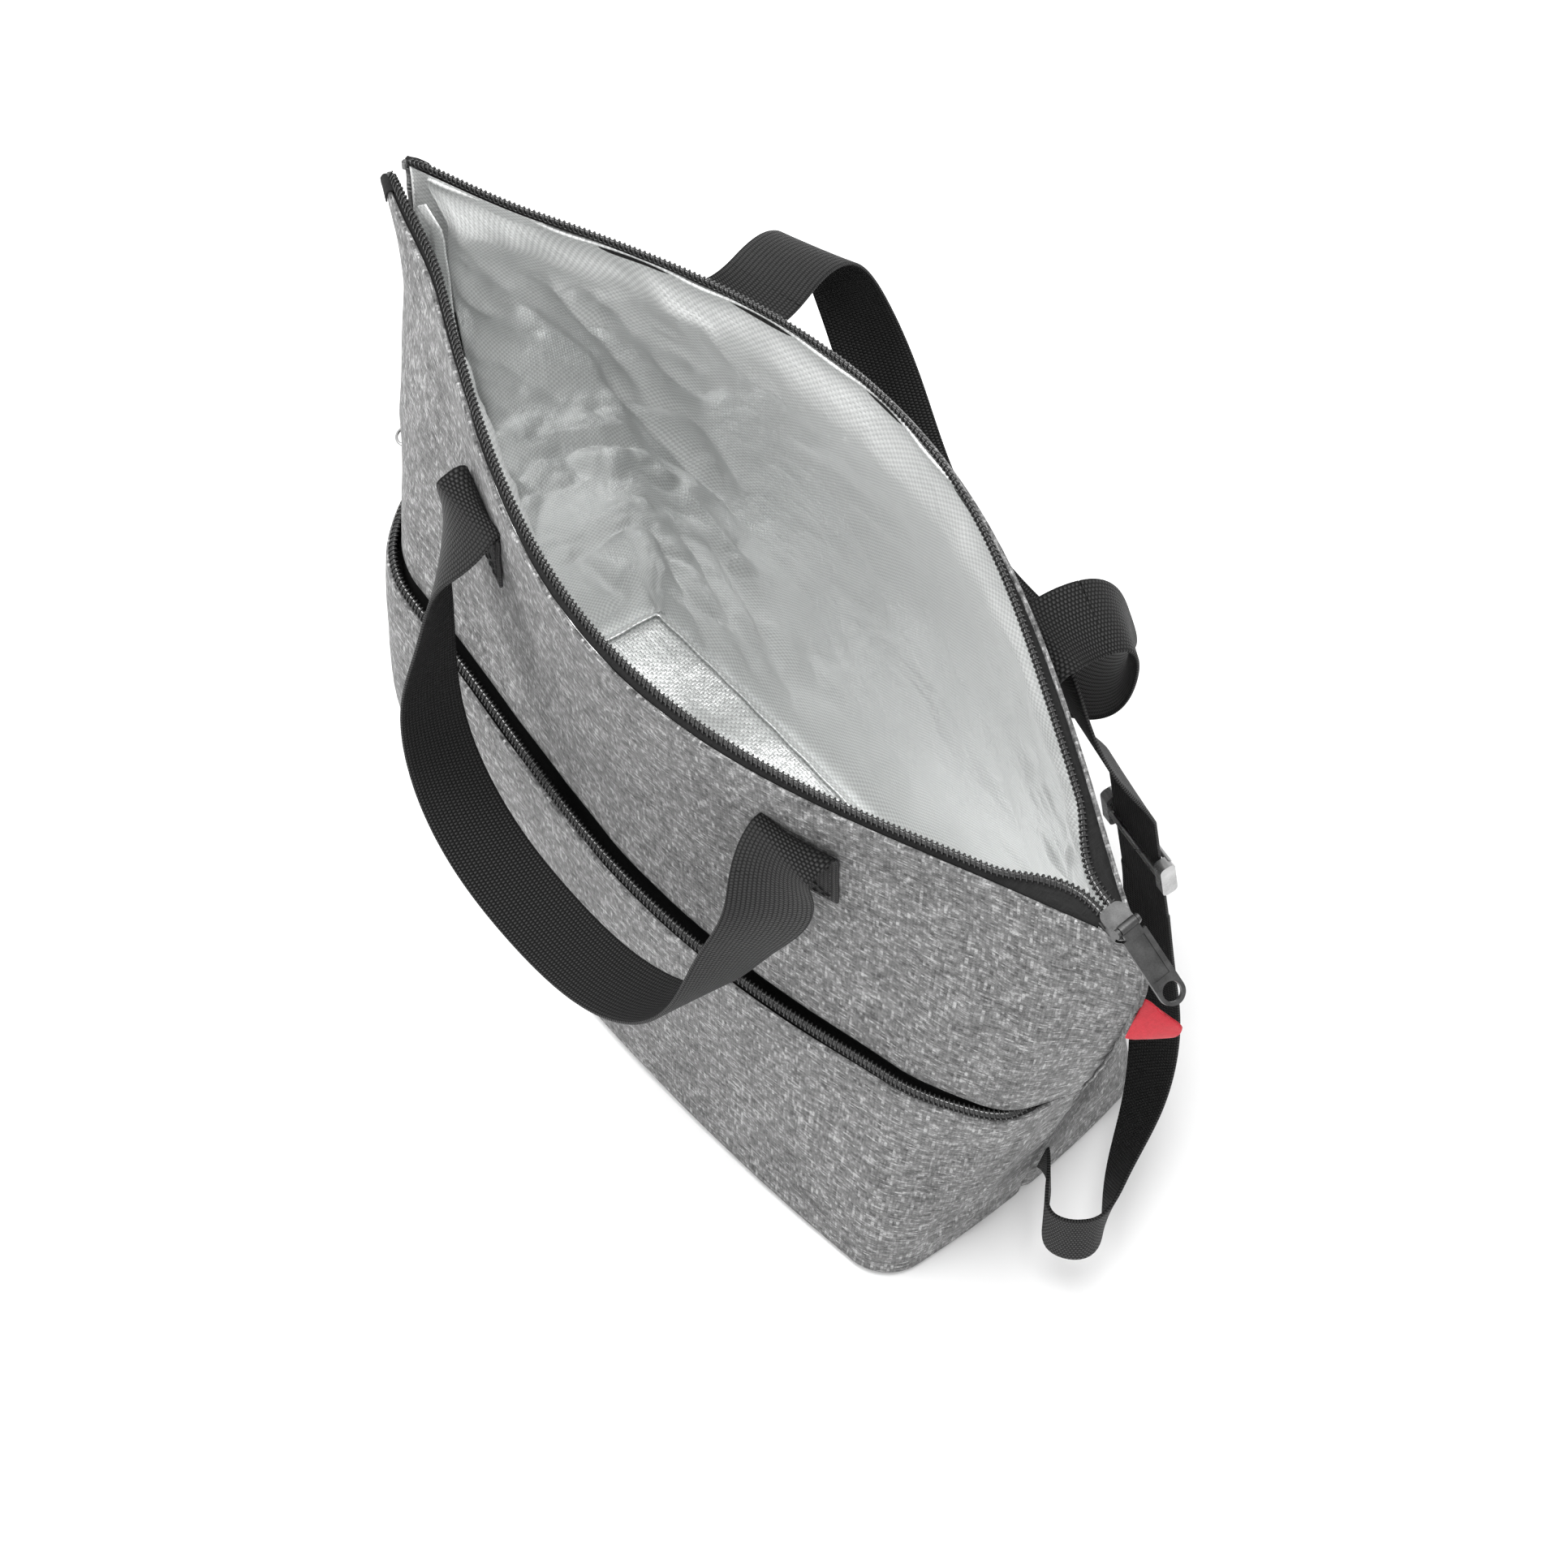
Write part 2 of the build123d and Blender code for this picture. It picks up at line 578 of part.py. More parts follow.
def strap_seat(back_along, deeper=0.0):
    """A point on the back panel, this far down the right strap from its sewn end."""
    x = STRAP_TOP_X - STRAP_PATCH + back_along * cos(STRAP_SLANT)
    z = STRAP_TOP_HEIGHT + (STRAP_PATCH - back_along) * sin(STRAP_SLANT)
    share = z / HEIGHT_MIDDLE
    return Vector(*plan_point(BACK, place_at(BACK, x, share), share, deeper - LAYER_GAP - WEBBING), z)


def strap_path(sign):
    """Path and width directions of a shoulder strap; sign is +1 right, -1 left."""
    run_foot = Vector(*STRAP_LOOP[-1][0])
    along = (RUN_TOP - run_foot).normalized()
    loop, loop_across = smooth(STRAP_LOOP, (seam_out, along))
    loop_across[-1] = RUN_DIR
    level = (strap_seat(STRAP_PATCH) - strap_seat(0)).normalized()
    face = (strap_seat(0) - strap_seat(0, 5)).normalized()
    flat = tuple(level.cross(face) * -1)
    sewn = [(tuple(strap_seat(STRAP_PATCH * share)), flat) for share in (1, 0.5, 0)]
    rise, rise_across = smooth(((tuple(RUN_TOP), tuple(RUN_DIR)), *STRAP_RISE, *sewn), (along, level * -1))
    path, across = loop + rise, loop_across + rise_across
    return [Vector(sign * p.X, p.Y, p.Z) for p in path], [Vector(sign * d.X, d.Y, d.Z) for d in across]


def adjuster(sign):
    """Three bars between two rails; the strap runs straight between them."""
    foot = Vector(*STRAP_LOOP[-1][0])
    along = (RUN_TOP - foot).normalized()
    across = (RUN_DIR - along * RUN_DIR.dot(along)).normalized()
    middle = (RUN_TOP + foot) * 0.5
    frame = Plane(origin=middle, x_dir=across, z_dir=across.cross(along))
    reach = WEBBING / 2 + STRAP_PLAY + ADJUSTER_BAR
    rail_width = (ADJUSTER_LENGTH - WEBBING_WIDTH) / 2 - STRAP_PLAY
    rail = Box(rail_width, ADJUSTER_WIDTH, 2 * (reach + ADJUSTER_BAR))
    rail = fillet(rail.edges().filter_by(Axis.X), 2.4)
    bar_length = ADJUSTER_LENGTH - rail_width
    body = Part()
    for way in (-1, 1):
        body += Pos(way * (ADJUSTER_LENGTH - rail_width) / 2, 0, 0) * rail
        edge = way * (ADJUSTER_WIDTH / 2 - ADJUSTER_BAR)
        body += Pos(0, edge, -reach) * Rot(0, 90, 0) * Cylinder(ADJUSTER_BAR, bar_length)
    body += Pos(0, 0, reach) * Rot(0, 90, 0) * Cylinder(ADJUSTER_BAR, bar_length)
    placed = frame.location * body
    return placed if sign > 0 else mirror(placed, about=Plane.YZ)


for sign, word in ((-1, "left"), (1, "right")):
    path, across = strap_path(sign)
    save(strip(path, across, flat_corners(WEBBING_WIDTH, WEBBING)), f"{word}_strap")
    save(adjuster(sign).solid(), f"{word}_adjuster")


# ---- sliders and pullers -----------------------------------------------------------
# A slider's own frame: X along the zip, Z out of its top plate, origin at its middle.


def slider():
    """Two plates on a post, with a bar between two lugs for the puller."""
    gap = SLIDER_HEIGHT - 2 * SLIDER_PLATE
    plate = Box(SLIDER_LENGTH, SLIDER_WIDTH, SLIDER_PLATE)
    plate = fillet(plate.edges().filter_by(Axis.Z), SLIDER_WIDTH * 0.3)
    body = Part()
    for way in (-1, 1):
        body += Pos(0, 0, way * (SLIDER_HEIGHT - SLIDER_PLATE) / 2) * plate
        flange = Box(SLIDER_LENGTH * 0.4, SLIDER_PLATE, gap)
        body += Pos(SLIDER_LENGTH * 0.12, way * (SLIDER_WIDTH - SLIDER_PLATE) / 2, 0) * flange
        lug = Box(LUG_LENGTH, SLIDER_PLATE, BRIDGE_HEIGHT)
        lug += Pos(0, 0, BRIDGE_HEIGHT / 2) * Rot(90, 0, 0) * Cylinder(LUG_LENGTH / 2, SLIDER_PLATE)
        lug_z = SLIDER_HEIGHT / 2 + BRIDGE_HEIGHT / 2
        body += Pos(BRIDGE_AHEAD, way * (SLIDER_WIDTH - SLIDER_PLATE) / 2, lug_z) * lug
    body += Pos(-SLIDER_LENGTH * 0.3, 0, 0) * Cylinder(SLIDER_WIDTH * 0.14, gap)
    bar_place = Pos(BRIDGE_AHEAD, 0, SLIDER_HEIGHT / 2 + BRIDGE_HEIGHT)
    body += bar_place * Rot(90, 0, 0) * Cylinder(BRIDGE_RADIUS, SLIDER_WIDTH - SLIDER_PLATE)
    return body


def bar_middle(seat):
    """The middle of a slider's bar, for a slider at this location."""
    return (seat * Pos(BRIDGE_AHEAD, 0, SLIDER_HEIGHT / 2 + BRIDGE_HEIGHT)).position


def puller():
    """A flat puller with a round eye; its own X runs from the bar to its tip."""
    bore = BRIDGE_RADIUS + PIVOT_PLAY
    neck_width = SLIDER_WIDTH - 2 * SLIDER_PLATE - 2 * SIDE_PLAY
    clear = hypot(LUG_LENGTH / 2, BRIDGE_HEIGHT) + SIDE_PLAY
    eye_x = PULLER_LENGTH - PULLER_WIDTH / 2
    recess_length = eye_x - PULLER_EYE - clear - 4
    body = Rot(90, 0, 0) * Cylinder(bore + PULLER_SHELL, neck_width)
    body += Pos((clear + 1) / 2, 0, 0) * Box(clear + 1, neck_width, PULLER_THICK)
    body += Pos((clear + eye_x) / 2, 0, 0) * Box(eye_x - clear, PULLER_WIDTH, PULLER_THICK)
    body += Pos(eye_x, 0, 0) * Cylinder(PULLER_WIDTH / 2, PULLER_THICK)
    body -= Pos(eye_x, 0, 0) * Cylinder(PULLER_EYE, PULLER_THICK * 2)
    body -= Rot(90, 0, 0) * Cylinder(bore, neck_width * 2)
    recess = Box(recess_length, PULLER_WIDTH - 4, PULLER_RECESS)
    for way in (-1, 1):
        body -= Pos(clear + 1.5 + recess_length / 2, 0, way * (PULLER_THICK - PULLER_RECESS) / 2) * recess
    return body


def mouth_slider_seat():
    """The main slider rests on the two fabric edges beside the right seam."""
    x = MOUTH_LENGTH / 2 - SLIDER_FROM_SEAM
    slope = Vector(1, 0, (mouth_height(x + 0.5) - mouth_height(x - 0.5)))
    u = place_at(FRONT, MOUTH_LENGTH / 2 - MOUTH_ZIP_END, 1)
    y = (plan_point(FRONT, u, 1, tape_inset)[1] + plan_point(BACK, u, 1, tape_inset)[1]) / 2
    out = slope.cross(Vector(0, 1, 0)).normalized()
    edge = Vector(x, y, mouth_height(x))
    return Plane(edge + out * (SLIDER_SEAT + SLIDER_HEIGHT / 2), x_dir=slope, z_dir=out).location


def pocket_slider_seat():
    """The pocket slider lies on the fabric at the left end of the pocket's zip."""
    share = POCKET_HEIGHT / HEIGHT_MIDDLE
    u = -POCKET_COIL_SPAN - POCKET_SLIDER_PAST
    step = 0.01
    here = Vector(*plan_point(FRONT, u, share, 0, False), POCKET_HEIGHT)
    ahead = Vector(*plan_point(FRONT, u + step, share, 0, False), POCKET_HEIGHT)
    above = Vector(*plan_point(FRONT, u, share + step, 0, False), POCKET_HEIGHT + step * HEIGHT_MIDDLE)
    along = (ahead - here).normalized()
    out = along.cross(above - here).normalized()
    return Plane(here + out * (SLIDER_SEAT + SLIDER_HEIGHT / 2), x_dir=along, z_dir=out).location


main_seat = mouth_slider_seat()
main_bar = bar_middle(main_seat)
save((main_seat * slider()).solid(), "main_slider")
save((Pos(*main_bar) * Rot(0, PULLER_DROOP, 0) * puller()).solid(), "main_puller")

pocket_seat = pocket_slider_seat()
ring_out = RING_RADIUS - RING_WIRE - BRIDGE_RADIUS - PIVOT_PLAY
ring_place = Pos(BRIDGE_AHEAD, 0, SLIDER_HEIGHT / 2 + BRIDGE_HEIGHT + ring_out)
save((pocket_seat * slider()).solid(), "pocket_slider")
save((pocket_seat * ring_place * Rot(90, 0, 0) * Torus(RING_RADIUS, RING_WIRE)).solid(), "pocket_puller")

# ---- side tag ----------------------------------------------------------------------

tag_face = RectangleRounded(TAG_LENGTH, TAG_HEIGHT, TAG_CORNER)
tag_middle = on_seam(TAG_SEAM_HEIGHT) + TAG_OUT * (LAYER_GAP + TAG_LENGTH / 2)
tag_plane = Plane(tag_middle, x_dir=TAG_OUT, z_dir=TAG_OUT.cross(TAG_UP))
save(extrude(tag_plane * tag_face, TAG_THICK / 2, both=True).solid(), "side_tag")
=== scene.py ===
"""Insulated cooler bag, standing open: its looks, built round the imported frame.

Sizes are in millimetres, and a mesh is turned into metres as it is made.
"""

import logging
from dataclasses import dataclass
from enum import Enum

import bpy
import numpy as np
from mathutils import Matrix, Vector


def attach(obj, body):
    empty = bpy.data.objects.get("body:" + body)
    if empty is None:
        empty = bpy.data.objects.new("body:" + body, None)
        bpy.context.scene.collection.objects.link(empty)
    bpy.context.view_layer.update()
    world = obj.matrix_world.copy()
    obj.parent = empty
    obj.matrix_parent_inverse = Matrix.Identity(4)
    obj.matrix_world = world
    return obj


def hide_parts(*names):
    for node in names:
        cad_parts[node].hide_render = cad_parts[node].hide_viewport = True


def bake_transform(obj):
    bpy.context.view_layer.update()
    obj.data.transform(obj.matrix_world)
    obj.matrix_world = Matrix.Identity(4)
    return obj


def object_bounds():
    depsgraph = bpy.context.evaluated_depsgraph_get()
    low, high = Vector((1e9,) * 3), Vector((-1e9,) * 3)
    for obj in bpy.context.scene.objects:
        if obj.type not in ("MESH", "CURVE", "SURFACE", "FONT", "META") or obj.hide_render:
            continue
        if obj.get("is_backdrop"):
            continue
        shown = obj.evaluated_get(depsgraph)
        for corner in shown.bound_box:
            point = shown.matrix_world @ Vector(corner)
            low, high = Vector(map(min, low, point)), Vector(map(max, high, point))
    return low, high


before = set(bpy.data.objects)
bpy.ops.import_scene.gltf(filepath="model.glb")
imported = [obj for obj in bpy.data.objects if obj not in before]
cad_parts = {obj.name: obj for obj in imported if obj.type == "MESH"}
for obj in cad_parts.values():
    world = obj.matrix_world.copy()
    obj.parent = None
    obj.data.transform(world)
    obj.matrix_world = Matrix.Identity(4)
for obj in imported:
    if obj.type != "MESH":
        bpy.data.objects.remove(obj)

MM = 0.001
PANEL_HALF = 222.5  # half of a panel's flat length, seam to seam
UP = np.array([0, 0, 1.0])
STITCH_PROUD = 0.85  # how far a stitch line lies above the middle of the webbing
BAG = "bag"
UV_NAME = "UVMap"
log = logging.getLogger("cooler_bag")


class Side(Enum):
    """The two halves of the bag, by the sign of their Y."""

    FRONT = -1
    BACK = 1

    @property
    def word(self) -> str:
        """Its name, as the pieces spell it."""
        return self.name.lower()


class Hand(Enum):
    """Left and right ends of the bag, by the sign of their X."""

    LEFT = -1
    RIGHT = 1

    @property
    def word(self) -> str:
        """Its name, as the pieces spell it."""
        return self.name.lower()


class Slot(Enum):
    """Material slots of the record."""

    FABRIC = "grey_fabric"
    POCKET = "black_lining"
    FOAM = "white_foam"
    FOIL = "silver_foil"
    TAPE = "zip_tape"
    COIL = "zip_coil"
    WEBBING = "black_webbing"
    DARK_METAL = "dark_metal"
    BRIGHT_METAL = "bright_metal"
    TAG = "red_tag"


# ---- numbers into fields and curves -------------------------------------------------


def smoothstep(low: float, high: float, value: np.ndarray) -> np.ndarray:
    """Runs smoothly from 0 at low to 1 at high."""
    t = np.clip((np.asarray(value, float) - low) / (high - low), 0, 1)
    return t * t * (3 - 2 * t)


def unit(vectors: np.ndarray) -> np.ndarray:
    """Vectors at length 1, along the last axis."""
    return vectors / np.maximum(np.linalg.norm(vectors, axis=-1, keepdims=True), 1e-9)


def travelled(points: np.ndarray) -> np.ndarray:
    """Distance gone at each of a row of points."""
    return np.concatenate([[0], np.cumsum(np.linalg.norm(np.diff(points, axis=0), axis=1))])


def sampled(where: np.ndarray, run: np.ndarray, values: np.ndarray) -> np.ndarray:
    """Rows of values at these distances, from the rows given at the distances run."""
    return np.stack([np.interp(where, run, values[:, k]) for k in range(3)], 1)


def crowded(count: int, power: float) -> np.ndarray:
    """Places from -1 to 1 that stand closer together towards both ends."""
    even = np.linspace(-1, 1, count)
    return np.sign(even) * (1 - (1 - np.abs(even)) ** power)


def ripple(a: np.ndarray, b: np.ndarray, cell: float, seed: int) -> np.ndarray:
    """A smooth uneven field over two coordinates.

    Args:
        a: First coordinate.
        b: Second coordinate.
        cell: Size of one bump, in the coordinates' unit.
        seed: Chooses the field.

    Returns:
        Values from about -1 to 1.
    """
    table = np.random.default_rng(seed).uniform(-1, 1, (64, 64))
    x, y = np.asarray(a, float) / cell + 17, np.asarray(b, float) / cell + 17
    i, j = np.floor(x).astype(int), np.floor(y).astype(int)
    fx, fy = smoothstep(0, 1, x - i), smoothstep(0, 1, y - j)
    near = table[i % 64, j % 64] * (1 - fx) + table[(i + 1) % 64, j % 64] * fx
    far = table[i % 64, (j + 1) % 64] * (1 - fx) + table[(i + 1) % 64, (j + 1) % 64] * fx
    return near * (1 - fy) + far * fy


@dataclass(frozen=True)
class Crease:
    """A ridge or valley in cloth, along a line on the cloth's own plane."""

    start: tuple[float, float]
    end: tuple[float, float]
    depth: float
    width: float
    sharp: float = 1.5

    def at(self, s: np.ndarray, z: np.ndarray) -> np.ndarray:
        """How far the cloth stands out at each place.

        Args:
            s: Places across the cloth.
            z: Places up the cloth.

        Returns:
            Heights, negative where the crease is a valley.
        """
        way = np.subtract(self.end, self.start)
        length = np.hypot(*way)
        along = ((s - self.start[0]) * way[0] + (z - self.start[1]) * way[1]) / length**2
        off = np.abs((s - self.start[0]) * way[1] - (z - self.start[1]) * way[0]) / length
        spread = self.width * (0.55 + 0.45 * along.clip(0, 1))
        fade = np.exp(-(((along - 0.5) / 0.46) ** 4))
        return self.depth * fade * np.exp(-((off / spread) ** self.sharp))


class Curve3:
    """A smooth curve through points at given parameters, with chosen or free ends."""

    def __init__(
        self,
        points: np.ndarray,
        places: np.ndarray,
        start: np.ndarray | None = None,
        end: np.ndarray | None = None,
    ) -> None:
        """Solves the curve.

        Args:
            points: What it goes through, one row each.
            places: The parameter at each point.
            start: Direction at the start, or None to leave it free.
            end: Direction at the end, or None.
        """
        self.p, self.t = np.asarray(points, float), np.asarray(places, float)
        h, count = np.diff(self.t), len(self.t)
        slope = np.diff(self.p, axis=0) / h[:, None]
        a, rhs = np.zeros((count, count)), np.zeros_like(self.p)
        for k in range(1, count - 1):
            a[k, k - 1 : k + 2] = h[k], 2 * (h[k - 1] + h[k]), h[k - 1]
            rhs[k] = 3 * (h[k] * slope[k - 1] + h[k - 1] * slope[k])
        a[0, :2], a[-1, -2:] = (2, 1), (1, 2)
        rhs[0], rhs[-1] = 3 * slope[0], 3 * slope[-1]
        if start is not None:
            a[0, :2] = 1, 0
            rhs[0] = unit(np.asarray(start, float)) * np.linalg.norm(slope[0])
        if end is not None:
            a[-1, -2:] = 0, 1
            rhs[-1] = unit(np.asarray(end, float)) * np.linalg.norm(slope[-1])
        self.m = np.linalg.solve(a, rhs)

    def at(self, where: np.ndarray) -> np.ndarray:
        """Points of the curve at these parameters."""
        k = np.clip(np.searchsorted(self.t, where, side="right") - 1, 0, len(self.t) - 2)
        h = (self.t[k + 1] - self.t[k])[:, None]
        u = (np.asarray(where) - self.t[k])[:, None] / h
        return (
            (1 + 2 * u) * (1 - u) ** 2 * self.p[k]
            + u * (1 - u) ** 2 * h * self.m[k]
            + u**2 * (3 - 2 * u) * self.p[k + 1]
            + u**2 * (u - 1) * h * self.m[k + 1]
        )


def chord_places(points: np.ndarray) -> np.ndarray:
    """Share of the way along a row of points, by straight distances."""
    reached = travelled(points)
    return reached / reached[-1]


# ---- the bag's surface --------------------------------------------------------------


@dataclass(frozen=True)
class BagForm:
    """The standing bag's outer surface: a rounded floor outline blended into the mouth's."""

    base_length: float = 302.0
    base_depth: float = 141.0
    corner: float = 16.0
    bow_front: float = 12.0
    bow_back: float = 8.0
    bow_side: float = 5.0
    mouth_length: float = 415.0
    mouth_front: float = 77.0
    mouth_back: float = 69.0
    mouth_power: float = 1.2
    height_middle: float = 370.0
    height_end: float = 354.0
    right_fullness: float = 13.0
    left_fullness: float = 21.0
    right_bow: float = 9.0
    left_bow: float = 5.0
    wall_pinch: float = 9.0
    pocket_span: float = 0.955
    foot_round: float = 6.0
    left_gape: float = 4.5
    front_gape: float = 1.7
    gape_x: tuple[float, float] = (-150.0, -207.0)
    gape_z: tuple[float, float] = (300.0, 353.0)

    def base_plan(self, side: Side, u: np.ndarray) -> tuple[np.ndarray, np.ndarray]:
        """Floor outline at places u, as X and Y."""
        half, depth, r = self.base_length / 2, self.base_depth / 2, self.corner
        run = np.abs(u) * (half + depth - (2 - np.pi / 2) * r)
        turn = np.clip((run - half + r) / r, 0, np.pi / 2)
        past = np.maximum(run - (half - r + r * np.pi / 2), 0)
        x = np.minimum(run, half - r) + r * np.sin(turn)
        y = depth - r + r * np.cos(turn) - past
        bow = self.bow_front if side is Side.FRONT else self.bow_back
        wide = x + self.bow_side * (1 - (y / depth) ** 2)
        deep = y + bow * (1 - (x / half) ** 2)
        return np.where(u >= 0, wide, -wide), side.value * deep

    def outer_plan(
        self, side: Side, u: np.ndarray, share: np.ndarray
    ) -> tuple[np.ndarray, np.ndarray]:
        """Outer surface at places u and shares of the middle height, as X and Y."""
        bx, by = self.base_plan(side, u)
        opening = self.mouth_front if side is Side.FRONT else self.mouth_back
        curve = np.maximum(np.cos(u * np.pi / 2), 0) ** self.mouth_power
        mx, my = u * self.mouth_length / 2, side.value * opening * curve
        x, y = bx + (mx - bx) * share, by + (my - by) * share
        low = np.clip(share, 0, 1)
        bow = low**3 * (1 - low) / (0.75**3 * 0.25) * u**4
        x = x + np.where(u > 0, self.right_bow, -self.left_bow) * bow
        if side is Side.BACK:
            return x, y
        right = u >= 0
        size = np.where(right, self.right_fullness, self.left_fullness)
        spread, lean = np.where(right, 0.13, 0.34), np.where(right, 0.82, -0.5)
        swell = np.sin(np.pi * np.clip(share, 0, 1)) * (1 - np.abs(u) ** 12)
        full = size * swell * np.exp(-(((np.abs(u) - 0.85) / spread) ** 2))
        return x + full * lean, y - full * np.sqrt(1 - lean**2)

    def pinch(self, side: Side, u: np.ndarray, share: np.ndarray) -> np.ndarray:
        """How far the wall behind the pocket draws in."""
        if side is Side.BACK:
            return np.zeros(np.broadcast(u, share).shape)
        along = np.maximum(0, 1 - (np.abs(u) / self.pocket_span) ** 4)
        return self.wall_pinch * np.sin(np.pi * np.clip(share, 0, 1)) ** 0.8 * along

    def inward(self, side: Side, u: np.ndarray, share: np.ndarray) -> np.ndarray:
        """Level unit vectors into the bag."""
        step = 0.004
        x0, y0 = self.outer_plan(side, np.maximum(u - step, -1), share)
        x1, y1 = self.outer_plan(side, np.minimum(u + step, 1), share)
        tx, ty = x1 - x0, y1 - y0
        return unit(np.stack([side.value * ty, -side.value * tx, np.zeros_like(tx)], -1))

    def wall(
        self, side: Side, u: np.ndarray, z: np.ndarray, inset: np.ndarray = 0.0, drawn: bool = True
    ) -> np.ndarray:
        """Points of a layer of the wall.

        Args:
            side: Which half.
            u: Place across the half, -1 at the left seam to 1 at the right.
            z: Height.
            inset: How far inside the outer surface; negative is outside.
            drawn: Whether the layer draws in behind the pocket.

        Returns:
            Points, in millimetres, in one more axis than u and z.
        """
        u, z, inset = np.broadcast_arrays(np.asarray(u, float), np.asarray(z, float), inset)
        share = z / self.height_middle
        x, y = self.outer_plan(side, u, share)
        depth = inset + (self.pinch(side, u, share) if drawn else 0)
        points = np.stack([x, y, z], -1) + self.inward(side, u, share) * depth[..., None]
        most = self.left_gape * (self.front_gape if side is Side.FRONT else 1.0)
        gape = most * smoothstep(*self.gape_x, points[..., 0]) * smoothstep(*self.gape_z, z)
        points[..., 1] += side.value * gape
        return points

    def mouth_height(self, x: np.ndarray) -> np.ndarray:
        """Height of the mouth's edge at X."""
        fall = self.height_middle - self.height_end
        return self.height_middle - fall * np.minimum(1, np.abs(2 * x / self.mouth_length)) ** 2

    def place_at(self, side: Side, x: np.ndarray, z: np.ndarray) -> np.ndarray:
        """The place across a half whose outer point has this X at this height."""
        x, z = np.broadcast_arrays(np.asarray(x, float), np.asarray(z, float))
        low, high = np.zeros(x.shape), np.ones(x.shape)
        for _ in range(30):
            middle = (low + high) / 2
            under = np.abs(self.outer_plan(side, middle, z / self.height_middle)[0]) < np.abs(x)
            low, high = np.where(under, middle, low), np.where(under, high, middle)
        return np.where(x >= 0, low, -low)

    def reach(self, side: Side, z: np.ndarray, inset: np.ndarray, gap: float = 0.15) -> np.ndarray:
        """The last place, going to the seam, that is clear of the other half."""
        low, high = np.full(np.shape(z), 0.5), np.ones(np.shape(z))
        for _ in range(24):
            middle = (low + high) / 2
            clear = side.value * self.wall(side, middle, z, inset)[..., 1] >= gap
            low, high = np.where(clear, middle, low), np.where(clear, high, middle)
        return low

    def foot(self, z: np.ndarray) -> np.ndarray:
        """How far the wall turns in under itself at the floor."""
        r = self.foot_round
        return r - np.sqrt(np.maximum(r**2 - np.maximum(r - z, 0) ** 2, 0))


FORM = BagForm()


# ---- meshes -------------------------------------------------------------------------


def make_mesh(
    name: str, points: np.ndarray, faces: list, uv: np.ndarray | None = None, rounded: bool = True
) -> bpy.types.Object:
    """Makes a mesh object.

    Args:
        name: The piece's name.
        points: Corners in millimetres.
        faces: Corner numbers of each face.
        uv: Place of each corner on the flat cloth, in millimetres, or None.
        rounded: Whether it is shaded smooth.

    Returns:
        The object, linked to the scene.
    """
    mesh = bpy.data.meshes.new(name)
    mesh.from_pydata((np.asarray(points).reshape(-1, 3) * MM).tolist(), [], faces)
    if uv is not None:
        layer = mesh.uv_layers.new(name=UV_NAME)
        corner = np.zeros(len(mesh.loops), np.int32)
        mesh.loops.foreach_get("vertex_index", corner)
        layer.data.foreach_set("uv", (np.asarray(uv).reshape(-1, 2)[corner] * MM).ravel())
    mesh.polygons.foreach_set("use_smooth", [rounded] * len(mesh.polygons))
    mesh.update()
    made = bpy.data.objects.new(name, mesh)
    bpy.context.scene.collection.objects.link(made)
    return made


def quads(rows: int, cols: int, wrap: bool = False, first: int = 0) -> np.ndarray:
    """Faces of a grid of points; wrap joins the last column to the first."""
    number = np.arange(rows * cols).reshape(rows, cols) + first
    if wrap:
        number = np.concatenate([number, number[:, :1]], 1)
    a, b = number[:-1, :-1].ravel(), number[:-1, 1:].ravel()
    c, d = number[1:, 1:].ravel(), number[1:, :-1].ravel()
    return np.stack([a, b, c, d], 1)


def flat_places(across: np.ndarray, up: np.ndarray) -> np.ndarray:
    """Places on the flat cloth, from a coordinate across it and one up it."""
    return np.stack(np.broadcast_arrays(across, up), -1)


def turned_over(face: np.ndarray, uv: np.ndarray) -> tuple[np.ndarray, np.ndarray]:
    """A grid and its flat places with their columns reversed, so that the other face looks out."""
    return face[:, ::-1], uv[:, ::-1]


def grid_normals(points: np.ndarray) -> np.ndarray:
    """Unit normals of a grid, from its columns' way crossed with its rows' way."""
    return unit(np.cross(np.gradient(points, axis=1), np.gradient(points, axis=0)))


